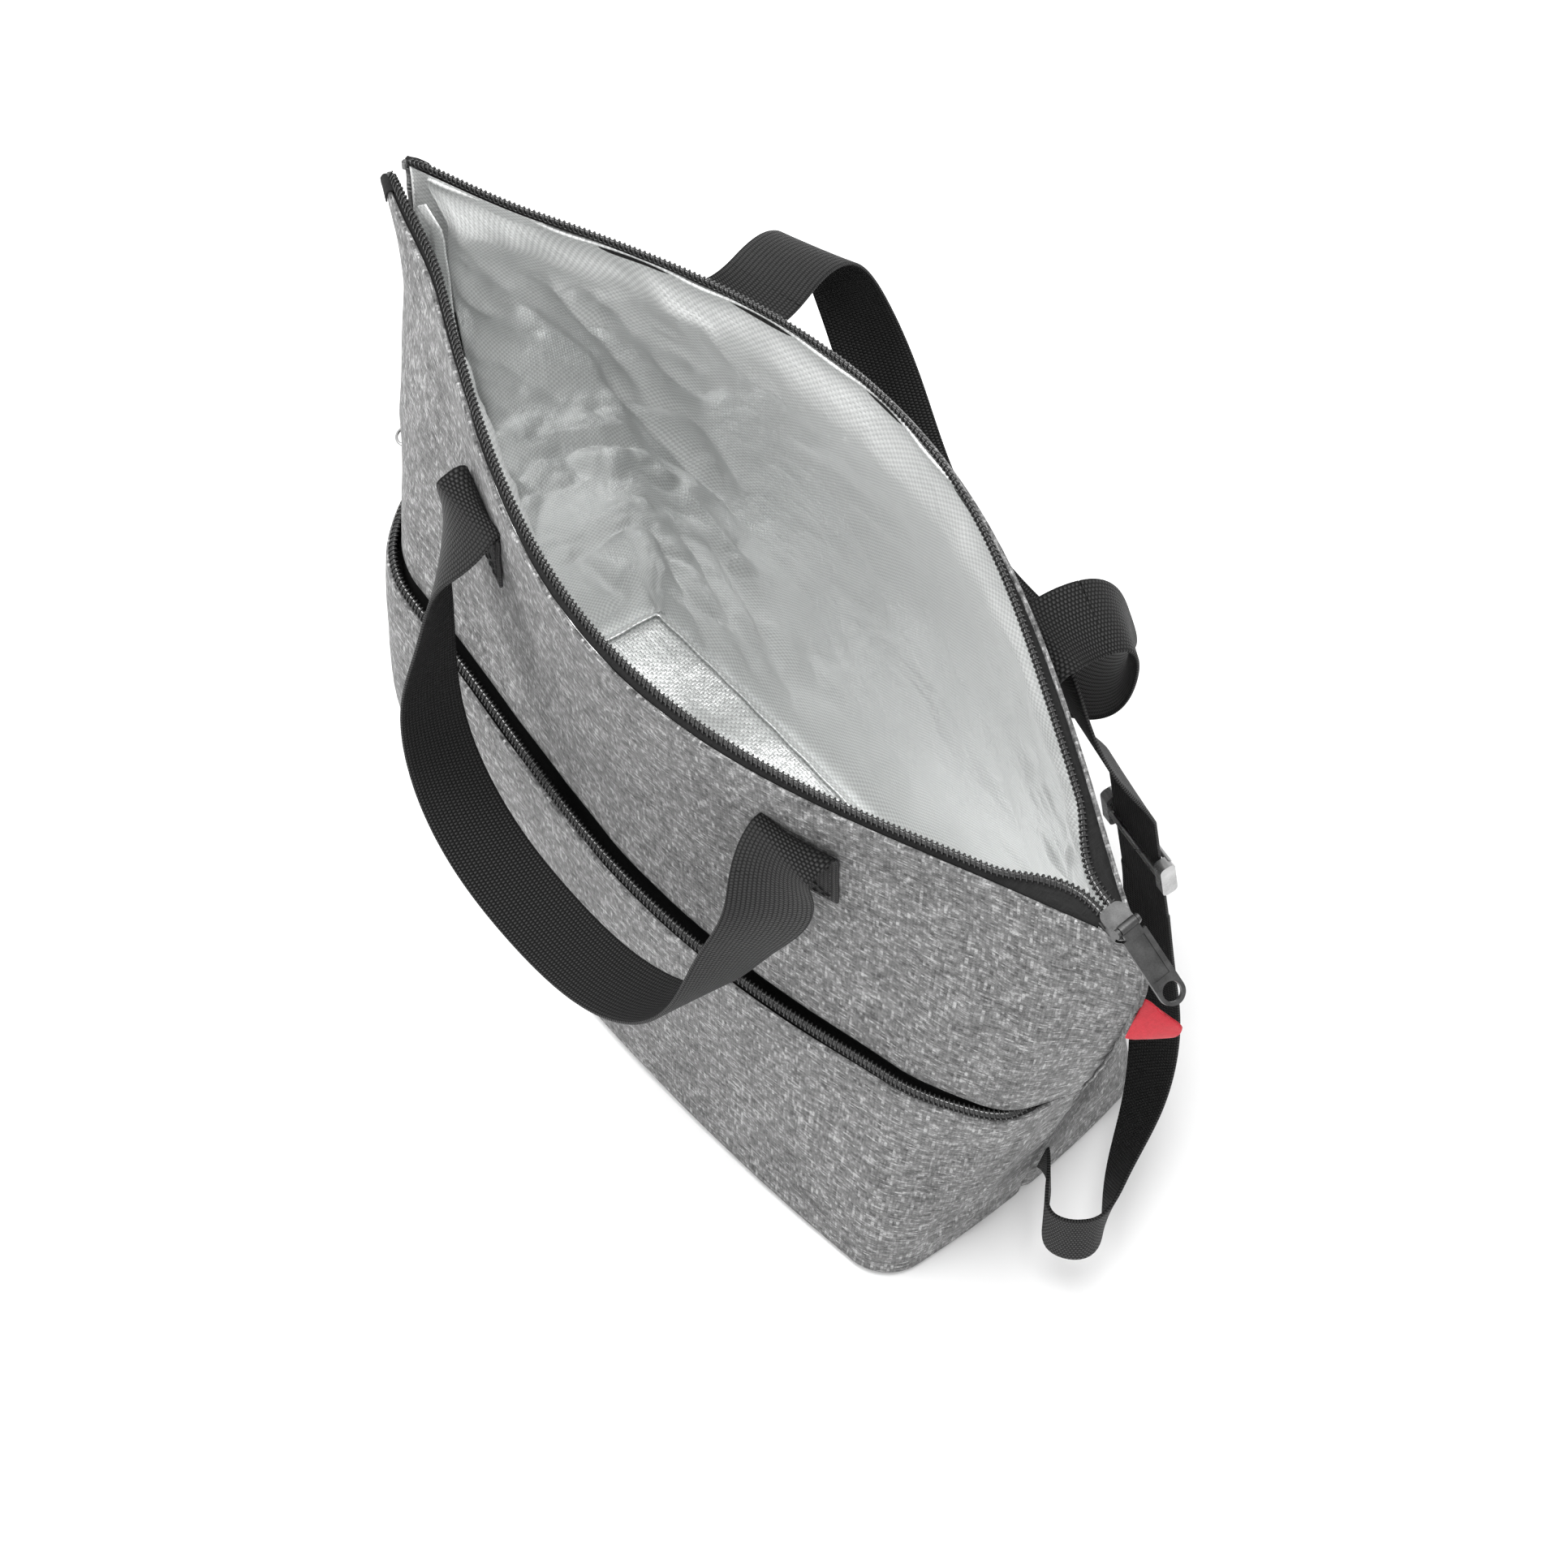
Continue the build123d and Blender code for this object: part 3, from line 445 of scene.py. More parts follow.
def sheet_mesh(name: str, face: np.ndarray, uv: np.ndarray, thick: float, rim: int = 2) -> bpy.types.Object:
    """A closed sheet of cloth with rounded edges, from the grid of its outer face.

    Args:
        name: The piece's name.
        face: Outer face, rows by columns; rows run up and columns so that the normal is outward.
        uv: Place of each point on the flat cloth.
        thick: Thickness.
        rim: Points round each edge between the two faces.

    Returns:
        The object.
    """
    rows, cols = face.shape[:2]
    normal = grid_normals(face)
    back = face - normal * thick
    number = np.arange(rows * cols).reshape(rows, cols)
    loop = np.concatenate([number[0, :], number[1:, -1], number[-1, -2::-1], number[-2:0:-1, 0]])
    flat_face, flat_back = face.reshape(-1, 3), back.reshape(-1, 3)
    neighbour = np.concatenate([number[1, :], number[1:, -2], number[-2, -2::-1], number[-2:0:-1, 1]])
    outward = unit(flat_face[loop] - flat_face[neighbour])
    rings = []
    for k in range(1, rim + 1):
        turn = np.pi * k / (rim + 1)
        centre = (flat_face[loop] + flat_back[loop]) / 2
        half = (flat_face[loop] - flat_back[loop]) / 2
        rings.append(centre + half * np.cos(turn) + outward * thick / 2 * np.sin(turn))
    points = np.concatenate([flat_face, flat_back, *rings])
    flat_uv = uv.reshape(-1, 2)
    uvs = np.concatenate([flat_uv, flat_uv, *[flat_uv[loop]] * rim])
    total, around = rows * cols, len(loop)
    faces = [quads(rows, cols), quads(rows, cols, first=total)[:, ::-1]]
    chain = [loop] + [2 * total + k * around + np.arange(around) for k in range(rim)] + [loop + total]
    for a, b in zip(chain, chain[1:]):
        faces.append(np.stack([a, b, np.roll(b, -1), np.roll(a, -1)], 1))
    return make_mesh(name, points, np.concatenate(faces).tolist(), uvs)


def swept_mesh(
    name: str,
    path: np.ndarray,
    across: np.ndarray,
    section: np.ndarray,
    capped: tuple[bool, bool] = (True, True),
    run_from: float = 0.0,
) -> bpy.types.Object:
    """A closed section carried along a path.

    Args:
        name: The piece's name.
        path: Points of the middle line.
        across: Direction of the section's first axis at each point.
        section: Closed outline, as (across, up) pairs.
        capped: Whether its start and its end are closed.
        run_from: The second flat coordinate at its start.

    Returns:
        The object, with its length as the second flat coordinate.
    """
    along = unit(np.gradient(path, axis=0))
    side = unit(across - along * np.sum(across * along, -1, keepdims=True))
    up = np.cross(along, side)
    rings = path[:, None] + side[:, None] * section[None, :, :1] + up[:, None] * section[None, :, 1:]
    count, around = rings.shape[:2]
    uv = flat_places(section[:, 0], travelled(path)[:, None] + run_from)
    faces = quads(count, around, wrap=True).tolist()
    caps = [list(range(around))[::-1], [(count - 1) * around + k for k in range(around)]]
    faces += [cap for cap, wanted in zip(caps, capped) if wanted]
    return make_mesh(name, rings, faces, uv)


def round_section(radius: float, sides: int, flat: float = 1.0) -> np.ndarray:
    """Outline of a round or flattened wire."""
    turn = np.linspace(0, 2 * np.pi, sides, endpoint=False)
    return np.stack([radius * np.cos(turn), radius * flat * np.sin(turn)], 1)


def webbing_section(width: float, thick: float, crown: float = 0.25, edge: float = 0.5) -> np.ndarray:
    """Outline of a webbing: flat faces, a little thicker near the sides, and rounded edges.

    Args:
        width: Its whole width.
        thick: Its thickness.
        crown: How much thicker it is near the sides, as a share.
        edge: How far the rounding reaches in.

    Returns:
        The closed outline, as (across, up) pairs.
    """
    inner = np.linspace(-1, 1, 15)
    half = thick / 2 * (1 + crown * np.exp(-(((np.abs(inner) - 0.93) / 0.05) ** 2)))
    top = np.stack([inner * (width / 2 - edge), half], 1)
    turn = np.linspace(0, np.pi, 5)[1:-1]
    right = np.stack([width / 2 - edge + edge * np.sin(turn), thick / 2 * np.cos(turn)], 1)
    return np.concatenate([top, right, top[::-1] * [1, -1], right[::-1] * [-1, 1]])[::-1]


def helix_mesh(
    name: str, middle: np.ndarray, wide: np.ndarray, tall: np.ndarray, pitch: float, wire: float
) -> bpy.types.Object:
    """A zip's coil: a wire wound flat round a middle line, over a core.

    Args:
        name: The piece's name.
        middle: Points of the middle line.
        wide: Half-width vector of a turn at each point.
        tall: Half-height vector of a turn at each point.
        pitch: Distance between turns.
        wire: Radius of the wire.

    Returns:
        The object, with the core's faces in its second material.
    """
    per_turn, sides, core_sides, core_share = 12, 5, 8, 0.7
    run = travelled(middle)
    where = np.arange(0, run[-1], pitch / per_turn)
    centre, w, t = (sampled(where, run, values) for values in (middle, wide, tall))
    turn = 2 * np.pi * where[:, None] / pitch
    path = centre + w * np.cos(turn) + t * np.sin(turn)
    along = unit(np.gradient(path, axis=0))
    out = unit(path - centre)
    out = unit(out - along * np.sum(out * along, -1, keepdims=True))
    third = np.cross(along, out)
    section = round_section(wire, sides)
    rings = path[:, None] + out[:, None] * section[None, :, :1] + third[:, None] * section[None, :, 1:]
    ring = round_section(1.0, core_sides)
    core = middle[:, None] + wide[:, None] * ring[None, :, :1] * core_share
    core = core + tall[:, None] * ring[None, :, 1:] * core_share
    wire_faces = quads(len(path), sides, wrap=True)
    core_faces = quads(len(middle), core_sides, wrap=True, first=len(path) * sides)
    faces = np.concatenate([wire_faces, core_faces]).tolist()
    points = np.concatenate([rings.reshape(-1, 3), core.reshape(-1, 3)])
    made = make_mesh(name, points, faces)
    made.data.polygons.foreach_set("material_index", np.arange(len(faces)) >= len(wire_faces))
    return made


def stitch_mesh(name: str, lines: list, length: float = 2.6, gap: float = 1.0) -> bpy.types.Object:
    """Rows of stitches as one piece.

    Args:
        name: The piece's name.
        lines: Pairs of (points, outward vectors) to sew along.
        length: Length of a stitch.
        gap: Space between stitches.

    Returns:
        The object.
    """
    points, faces = [], []
    sides, steps, thread, thin, rise, bury = 6, 5, 0.34, 0.35, 0.3, 0.05
    arch = np.sin(np.linspace(0, np.pi, steps))
    ring = round_section(thread, sides)
    size = (thin + (1 - thin) * arch)[:, None, None]
    for line, out in lines:
        run = travelled(line)
        for start in np.arange(gap / 2, run[-1] - length, length + gap):
            where = np.linspace(start, start + length, steps)
            path = sampled(where, run, line)
            up = unit(sampled(where, run, out))
            along = unit(np.gradient(path, axis=0))
            side = unit(np.cross(along, up))
            lifted = path + up * (rise * arch - bury)[:, None]
            first = sum(len(p) for p in points)
            tube = lifted[:, None] + (side[:, None] * ring[:, :1] + up[:, None] * ring[:, 1:]) * size
            points.append(tube.reshape(-1, 3))
            faces += quads(steps, sides, wrap=True, first=first).tolist()
            last = first + (steps - 1) * sides
            faces += [list(range(first, first + sides))[::-1], list(range(last, last + sides))]
    return make_mesh(name, np.concatenate(points), faces)


def sewn_box(corners: list, out: np.ndarray) -> list:
    """Stitch lines of a sewn box with a cross in it.

    Args:
        corners: Its four corners, in order round it.
        out: The way that its face looks.

    Returns:
        Pairs of (points, outward vectors), for stitch_mesh.
    """
    steps = 12
    share = np.linspace(0, 1, steps)[:, None]
    ends = ((0, 1), (1, 2), (2, 3), (3, 0), (0, 2), (1, 3))
    outward = np.tile(out, (steps, 1))
    return [(corners[a] * (1 - share) + corners[b] * share, outward) for a, b in ends]


# ---- shader shorthand ---------------------------------------------------------------


class Graph:
    """Adds and joins shader nodes in one tree."""

    def __init__(self, tree: bpy.types.NodeTree) -> None:
        """Keeps the tree."""
        self.tree = tree

    def add(self, kind: str, inputs: dict | None = None, **settings: object) -> bpy.types.Node:
        """Adds a node.

        Args:
            kind: Blender's node type.
            inputs: Values or sockets by input name or number.
            settings: The node's own properties.

        Returns:
            The node.
        """
        node = self.tree.nodes.new(kind)
        for key, value in settings.items():
            setattr(node, key, value)
        for key, value in (inputs or {}).items():
            if isinstance(value, bpy.types.NodeSocket):
                self.tree.links.new(value, node.inputs[key])
            else:
                node.inputs[key].default_value = value
        return node

    def math(self, operation: str, *values: object, clamp: bool = False) -> bpy.types.NodeSocket:
        """One arithmetic step on sockets or numbers."""
        node = self.add("ShaderNodeMath", dict(enumerate(values)), operation=operation, use_clamp=clamp)
        return node.outputs[0]

    def noise(self, vector: bpy.types.NodeSocket, scale: float, detail: float = 2.0) -> bpy.types.NodeSocket:
        """Noise values over a vector."""
        node = self.add("ShaderNodeTexNoise", {"Vector": vector, "Scale": scale, "Detail": detail})
        return node.outputs["Fac"]

    def ramp(self, value: bpy.types.NodeSocket, *stops: tuple) -> bpy.types.NodeSocket:
        """Colours by value; each stop is (place, grey or (r, g, b))."""
        node = self.add("ShaderNodeValToRGB", {0: value})
        elements = node.color_ramp.elements
        while len(elements) < len(stops):
            elements.new(0.5)
        for element, (place, colour) in zip(elements, stops):
            element.position = place
            rgb = colour if isinstance(colour, tuple) else (colour,) * 3
            element.color = (*rgb, 1)
        return node.outputs["Color"]

    def mix(self, share: object, a: object, b: object, blend: str = "MIX") -> bpy.types.NodeSocket:
        """Mixes two colours."""
        node = self.add(
            "ShaderNodeMix", {"Factor": share, 6: a, 7: b}, data_type="RGBA", blend_type=blend
        )
        return node.outputs[2]


def new_group(name: str, inputs: dict, outputs: dict) -> tuple[Graph, bpy.types.Node, bpy.types.Node]:
    """Starts a shader group.

    Args:
        name: The group's name.
        inputs: Socket type, or (type, default), by name.
        outputs: Socket type by name.

    Returns:
        The graph, its input node and its output node.
    """
    tree = bpy.data.node_groups.new(name, "ShaderNodeTree")
    for key, kind in inputs.items():
        kind, default = kind if isinstance(kind, tuple) else (kind, None)
        socket = tree.interface.new_socket(key, in_out="INPUT", socket_type=kind)
        if default is not None:
            socket.default_value = default
    for key, kind in outputs.items():
        tree.interface.new_socket(key, in_out="OUTPUT", socket_type=kind)
    graph = Graph(tree)
    return graph, graph.add("NodeGroupInput"), graph.add("NodeGroupOutput")


FLOAT, VECTOR = "NodeSocketFloat", "NodeSocketVector"


def weave_group() -> bpy.types.NodeTree:
    """Plain weave: each thread's own tone, which thread is on top, and its height."""
    graph, given, result = new_group(
        "Weave",
        {"Vector": VECTOR, "Pitch": (FLOAT, 0.0007), "Streak": (FLOAT, 0.12)},
        {"Tone": FLOAT, "Over": FLOAT, "Height": FLOAT},
    )
    parts = graph.add("ShaderNodeSeparateXYZ", {0: given.outputs["Vector"]})
    x = graph.math("DIVIDE", parts.outputs[0], given.outputs["Pitch"])
    y = graph.math("DIVIDE", parts.outputs[1], given.outputs["Pitch"])
    wave_x = graph.math("SINE", graph.math("MULTIPLY", x, np.pi))
    wave_y = graph.math("SINE", graph.math("MULTIPLY", y, np.pi))
    over = graph.math("MULTIPLY_ADD", graph.math("MULTIPLY", wave_x, wave_y), 2.5, 0.5, clamp=True)
    streak = given.outputs["Streak"]
    tones = []
    for thread, along in ((x, y), (y, x)):
        number = graph.math("MULTIPLY", graph.math("FLOOR", thread), 3.71 if thread is x else 5.13)
        place = graph.add("ShaderNodeCombineXYZ", {0: number, 1: graph.math("MULTIPLY", along, streak)})
        tones.append(graph.noise(place.outputs[0], 1.0, 1.0))
    warp, weft = tones
    mixed = graph.add("ShaderNodeMix", {"Factor": over, 2: weft, 3: warp}, data_type="FLOAT").outputs[0]
    brighter = graph.math("MULTIPLY", graph.math("MAXIMUM", warp, weft), 0.6)
    tone = graph.math("MULTIPLY_ADD", mixed, 0.4, brighter)
    height = graph.add(
        "ShaderNodeMix",
        {"Factor": over, 2: graph.math("ABSOLUTE", wave_y), 3: graph.math("ABSOLUTE", wave_x)},
        data_type="FLOAT",
    ).outputs[0]
    for key, value in (("Tone", tone), ("Over", over), ("Height", height)):
        graph.tree.links.new(value, result.inputs[key])
    return graph.tree


def rib_group() -> bpy.types.NodeTree:
    """Webbing: ribs across the band, broken into short floats along it."""
    graph, given, result = new_group(
        "Ribs",
        {"Vector": VECTOR, "Pitch": (FLOAT, 0.00125), "Column": (FLOAT, 0.0016)},
        {"Height": FLOAT, "Valley": FLOAT},
    )
    parts = graph.add("ShaderNodeSeparateXYZ", {0: given.outputs["Vector"]})
    column = graph.math("DIVIDE", parts.outputs[0], given.outputs["Column"])
    whole = graph.math("FLOOR", graph.math("ADD", column, 64))
    shift = graph.math("MULTIPLY", graph.math("MODULO", whole, 2), 0.5)
    row = graph.math("ADD", graph.math("DIVIDE", parts.outputs[1], given.outputs["Pitch"]), shift)
    rib = graph.math("ABSOLUTE", graph.math("SINE", graph.math("MULTIPLY", row, np.pi)))
    groove = graph.math("ABSOLUTE", graph.math("SINE", graph.math("MULTIPLY", column, np.pi)))
    height = graph.math("MULTIPLY", graph.math("POWER", rib, 0.6), graph.math("POWER", groove, 0.35))
    graph.tree.links.new(height, result.inputs["Height"])
    graph.tree.links.new(graph.math("SUBTRACT", 1.0, height), result.inputs["Valley"])
    return graph.tree


def cloud_group() -> bpy.types.NodeTree:
    """Slow unevenness of a dyed or handled surface, and fine specks."""
    graph, given, result = new_group(
        "Cloud",
        {"Vector": VECTOR, "Size": (FLOAT, 0.05), "Speck": (FLOAT, 0.0012)},
        {"Slow": FLOAT, "Fine": FLOAT},
    )
    slow = graph.math("DIVIDE", 1.0, given.outputs["Size"])
    fine = graph.math("DIVIDE", 1.0, given.outputs["Speck"])
    for key, scale, detail in (("Slow", slow, 3.0), ("Fine", fine, 2.0)):
        node = graph.add(
            "ShaderNodeTexNoise", {"Vector": given.outputs["Vector"], "Scale": scale, "Detail": detail}
        )
        graph.tree.links.new(node.outputs["Fac"], result.inputs[key])
    return graph.tree


class Finish:
    """What every finish can do: make its material once."""

    name = "finish"

    def wire(self, graph: Graph, shader: bpy.types.Node) -> None:
        """Joins the finish's own nodes to the shader."""
        raise NotImplementedError

    def material(self) -> bpy.types.Material:
        """The finish's material, made on first use."""
        found = bpy.data.materials.get(self.name)
        if found is not None:
            return found
        made = bpy.data.materials.new(self.name)
        made.use_nodes = True
        graph = Graph(made.node_tree)
        self.wire(graph, made.node_tree.nodes["Principled BSDF"])
        return made

    def flat(self, graph: Graph) -> bpy.types.NodeSocket:
        """Place on the flat cloth, in metres."""
        return graph.add("ShaderNodeUVMap", uv_map=UV_NAME).outputs[0]

    def solid(self, graph: Graph) -> bpy.types.NodeSocket:
        """Place in the object, in metres."""
        return graph.add("ShaderNodeTexCoord").outputs["Object"]

    def group(self, graph: Graph, name: str, vector: bpy.types.NodeSocket, **sizes: float) -> bpy.types.Node:
        """Adds one of the shared groups."""
        node = graph.add("ShaderNodeGroup", node_tree=bpy.data.node_groups[name])
        graph.tree.links.new(vector, node.inputs["Vector"])
        for key, value in sizes.items():
            node.inputs[key].default_value = value
        return node

    def paint(self, graph: Graph, shader: bpy.types.Node, colour: bpy.types.NodeSocket) -> None:
        """Joins a colour to the shader."""
        graph.tree.links.new(colour, shader.inputs["Base Color"])

    def vary_roughness(
        self, graph: Graph, shader: bpy.types.Node, value: bpy.types.NodeSocket, span: float, least: float
    ) -> None:
        """Makes the shader's roughness the value times the span, plus the least."""
        rough = graph.math("MULTIPLY_ADD", value, span, least)
        graph.tree.links.new(rough, shader.inputs["Roughness"])

    def bump(
        self,
        graph: Graph,
        shader: bpy.types.Node,
        height: bpy.types.NodeSocket,
        depth: float,
        strength: float,
    ) -> None:
        """Joins a height to the shader's normal."""
        node = graph.add("ShaderNodeBump", {"Height": height, "Distance": depth, "Strength": strength})
        graph.tree.links.new(node.outputs[0], shader.inputs["Normal"])


@dataclass(frozen=True)
class Melange(Finish):
    """Heather grey plain weave of light and dark fibres."""

    name: str = "heather_grey_weave"
    pitch: float = 0.00125
    dark: float = 0.040
    middle: float = 0.19
    light: float = 0.46

    def wire(self, graph: Graph, shader: bpy.types.Node) -> None:
        """Thread tones over slow unevenness, painted darker in the weave's grooves as painted shade, with
        the weave's relief.
        """
        place = self.flat(graph)
        coarse = self.group(graph, "Weave", place, Pitch=self.pitch, Streak=0.20)
        fine = self.group(graph, "Weave", place, Pitch=self.pitch * 0.57, Streak=0.10)
        cloud = self.group(graph, "Cloud", place, Size=0.03, Speck=0.0009)
        fine_tone = graph.math("MULTIPLY", fine.outputs["Tone"], 0.34)
        both = graph.math("MULTIPLY_ADD", coarse.outputs["Tone"], 0.66, fine_tone)
        tone = graph.math("MULTIPLY_ADD", graph.math("SUBTRACT", cloud.outputs["Fine"], 0.5), 0.12, both)
        tone = graph.math("MULTIPLY_ADD", graph.math("SUBTRACT", cloud.outputs["Slow"], 0.5), 0.12, tone)
        colour = graph.ramp(
            tone, (0.40, self.dark), (0.49, self.middle * 0.62), (0.56, self.middle), (0.67, self.light)
        )
        # painted shade: the colour is darkened where the coarse weave's threads dip into their grooves
        groove = graph.math("MULTIPLY_ADD", coarse.outputs["Height"], 0.35, 0.65)
        shaded = graph.mix(1.0, colour, groove, "MULTIPLY")
        self.paint(graph, shader, shaded)
        shader.inputs["Roughness"].default_value = 0.82
        shader.inputs["Sheen Weight"].default_value = 0.12
        shader.inputs["Specular IOR Level"].default_value = 0.25
        self.bump(graph, shader, coarse.outputs["Height"], 0.00022, 0.7)


@dataclass(frozen=True)
class Foil(Finish):
    """Silvery lining: foil pressed over a fine woven grid."""

    name: str = "silver_woven_foil"
    pitch: float = 0.0013
    colour: tuple[float, float, float] = (0.84, 0.85, 0.845)
    threads: float = 0.35
    crinkle: float = 2.2

    def wire(self, graph: Graph, shader: bpy.types.Node) -> None:
        """A soft metal, its woven grid painted into the colour as a checker of darker and lighter metal for
        painted shade, finely crinkled and slowly uneven in its shine.
        """
        place = self.flat(graph)
        grid = self.group(graph, "Weave", place, Pitch=self.pitch, Streak=0.1)
        cloud = self.group(graph, "Cloud", place, Size=0.02, Speck=0.004)
        # painted shade: the woven grid under the foil is painted into its colour, a checker of darker and
        # lighter metal
        shade = graph.math("MULTIPLY_ADD", grid.outputs["Over"], 0.24, 0.76)
        shade = graph.math("MULTIPLY_ADD", cloud.outputs["Slow"], 0.10, shade)
        base = graph.mix(1.0, (*self.colour, 1), shade, "MULTIPLY")
        self.paint(graph, shader, base)
        shader.inputs["Metallic"].default_value = 0.5
        self.vary_roughness(graph, shader, cloud.outputs["Slow"], 0.16, 0.24)
        threads = graph.math("MULTIPLY", grid.outputs["Height"], self.threads)
        height = graph.math("MULTIPLY_ADD", cloud.outputs["Fine"], self.crinkle, threads)
        self.bump(graph, shader, height, 0.00030, 0.75)


@dataclass(frozen=True)
class Cloth(Finish):
    """Plain dark cloth: zip tape, pocket lining."""

    name: str = "charcoal_tape"
    pitch: float = 0.0005
    low: float = 0.004
    high: float = 0.014
    roughness: float = 0.85

    def wire(self, graph: Graph, shader: bpy.types.Node) -> None:
        """Fine weave with a little tone from thread to thread."""
        place = self.flat(graph)
        weave = self.group(graph, "Weave", place, Pitch=self.pitch, Streak=0.1)
        colour = graph.ramp(weave.outputs["Tone"], (0.3, self.low), (0.7, self.high))
        self.paint(graph, shader, colour)
        shader.inputs["Roughness"].default_value = self.roughness
        shader.inputs["Specular IOR Level"].default_value = 0.3
        self.bump(graph, shader, weave.outputs["Height"], 0.0002, 0.5)


@dataclass(frozen=True)
class Webbing(Finish):
    """Black ribbed nylon webbing."""

    name: str = "black_ribbed_webbing"
    pitch: float = 0.0013
    column: float = 0.0017
    low: float = 0.001
    high: float = 0.022

    def wire(self, graph: Graph, shader: bpy.types.Node) -> None:
        """Ribs painted darker in their valleys as painted shade and lighter on their tops as painted
        highlight; their tops are also less rough.
        """
        place = self.flat(graph)
        ribs = self.group(graph, "Ribs", place, Pitch=self.pitch, Column=self.column)
        cloud = self.group(graph, "Cloud", place, Size=0.03, Speck=0.0006)
        speck = graph.math("SUBTRACT", cloud.outputs["Fine"], 0.5)
        # painted shade and painted highlight: the colour follows the rib height, dark in the valleys and
        # light on the tops
        tone = graph.math("MULTIPLY_ADD", speck, 0.5, ribs.outputs["Height"])
        colour = graph.ramp(tone, (0.45, self.low), (1.05, self.high))
        self.paint(graph, shader, colour)
        self.vary_roughness(graph, shader, ribs.outputs["Valley"], 0.4, 0.5)
        shader.inputs["Specular IOR Level"].default_value = 0.3
        self.bump(graph, shader, ribs.outputs["Height"], 0.0006, 1.0)


@dataclass(frozen=True)
class Nylon(Finish):
    """Black nylon: zip coils and their cords, sewing thread."""

    name: str = "black_coil_nylon"
    low: float = 0.014
    high: float = 0.040
    roughness: float = 0.20

    def wire(self, graph: Graph, shader: bpy.types.Node) -> None:
        """Dark plastic with a little unevenness in its shine."""
        cloud = self.group(graph, "Cloud", self.solid(graph), Size=0.01, Speck=0.0008)
        colour = graph.ramp(cloud.outputs["Fine"], (0.3, self.low), (0.7, self.high))
        self.paint(graph, shader, colour)
        self.vary_roughness(graph, shader, cloud.outputs["Fine"], 0.15, self.roughness - 0.08)
        self.bump(graph, shader, cloud.outputs["Fine"], 0.00005, 0.3)


@dataclass(frozen=True)
class Metal(Finish):
    """Cast or plated metal, rubbed a little brighter in places."""

    name: str = "gunmetal"
    low: float = 0.055
    high: float = 0.13
    roughness: float = 0.42

    def wire(self, graph: Graph, shader: bpy.types.Node) -> None:
        """Metal tone and roughness from slow and fine unevenness."""
        cloud = self.group(graph, "Cloud", self.solid(graph), Size=0.006, Speck=0.0005)
        slow = graph.math("MULTIPLY", cloud.outputs["Slow"], 0.7)
        blend = graph.math("MULTIPLY_ADD", cloud.outputs["Fine"], 0.3, slow)
        colour = graph.ramp(blend, (0.3, self.low), (0.7, self.high))
        self.paint(graph, shader, colour)
        shader.inputs["Metallic"].default_value = 0.95
        self.vary_roughness(graph, shader, cloud.outputs["Slow"], 0.2, self.roughness - 0.1)
        self.bump(graph, shader, cloud.outputs["Fine"], 0.00003, 0.25)


@dataclass(frozen=True)
class Ribbon(Finish):
    """Red woven ribbon of the side tag."""

    name: str = "red_ribbon"
    low: tuple[float, float, float] = (0.40, 0.004, 0.014)
    high: tuple[float, float, float] = (0.56, 0.014, 0.032)

    def wire(self, graph: Graph, shader: bpy.types.Node) -> None:
        """Satin threads in two close reds."""
        place = self.flat(graph)
        weave = self.group(graph, "Weave", place, Pitch=0.00035, Streak=0.2)
        colour = graph.ramp(weave.outputs["Tone"], (0.3, self.low), (0.7, self.high))
        self.paint(graph, shader, colour)
        shader.inputs["Roughness"].default_value = 0.45
        shader.inputs["Specular IOR Level"].default_value = 0.3
        self.bump(graph, shader, weave.outputs["Height"], 0.00012, 0.5)


@dataclass(frozen=True)
class FoamSheet(Finish):
    """White closed-cell foam."""

    name: str = "white_foam_sheet"

    def wire(self, graph: Graph, shader: bpy.types.Node) -> None:
        """Small cells, painted darker in their hollows as painted shade."""
        cells = graph.add("ShaderNodeTexVoronoi", {"Vector": self.solid(graph), "Scale": 900.0})
        # painted shade: the colour is darkest at each cell's middle, where the bump is lowest
        colour = graph.ramp(cells.outputs["Distance"], (0.1, 0.55), (0.6, 0.78))
        self.paint(graph, shader, colour)
        shader.inputs["Roughness"].default_value = 0.75
        self.bump(graph, shader, cells.outputs["Distance"], 0.0003, 0.4)


FABRIC = Melange()
FOIL = Foil()
TAPE = Cloth()
POCKET_CLOTH = Cloth(name="black_pocket_cloth", low=0.003, high=0.010)
WEBBING = Webbing()
COIL = Nylon()
# the coil's cord: a darker, duller copy of the wire's nylon, painted shade between the coil's turns
SHADED_CORD = Nylon(name="black_coil_cord_shade", low=0.001, high=0.004, roughness=0.8)
THREAD = Nylon(name="black_thread", low=0.008, high=0.022, roughness=0.6)
GUNMETAL = Metal()
BRIGHT = Metal(name="bright_plate", low=0.30, high=0.52, roughness=0.28)
RED = Ribbon()
FOAM = FoamSheet()


def dress(piece: bpy.types.Object, finish: Finish, slot: Slot) -> bpy.types.Object:
    """Gives a piece its finish."""
    piece.data.materials.clear()
    piece.data.materials.append(finish.material())
    return piece


def dress_coil(piece: bpy.types.Object) -> bpy.types.Object:
    """Gives a coil its wire's finish, and its core the cord's darker copy, which is painted shade between
    the turns.
    """
    dress(piece, COIL, Slot.COIL)
    piece.data.materials.append(SHADED_CORD.material())
    return piece


def place(piece: bpy.types.Object, body: str, *nodes: str) -> bpy.types.Object:
    """Sets a piece on its body, in place of these CAD nodes."""
    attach(piece, body)
    if nodes:
        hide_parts(*nodes)
    log.info("%s on %s", piece.name, body)
    return piece


# ---- outer bag ----------------------------------------------------------------------


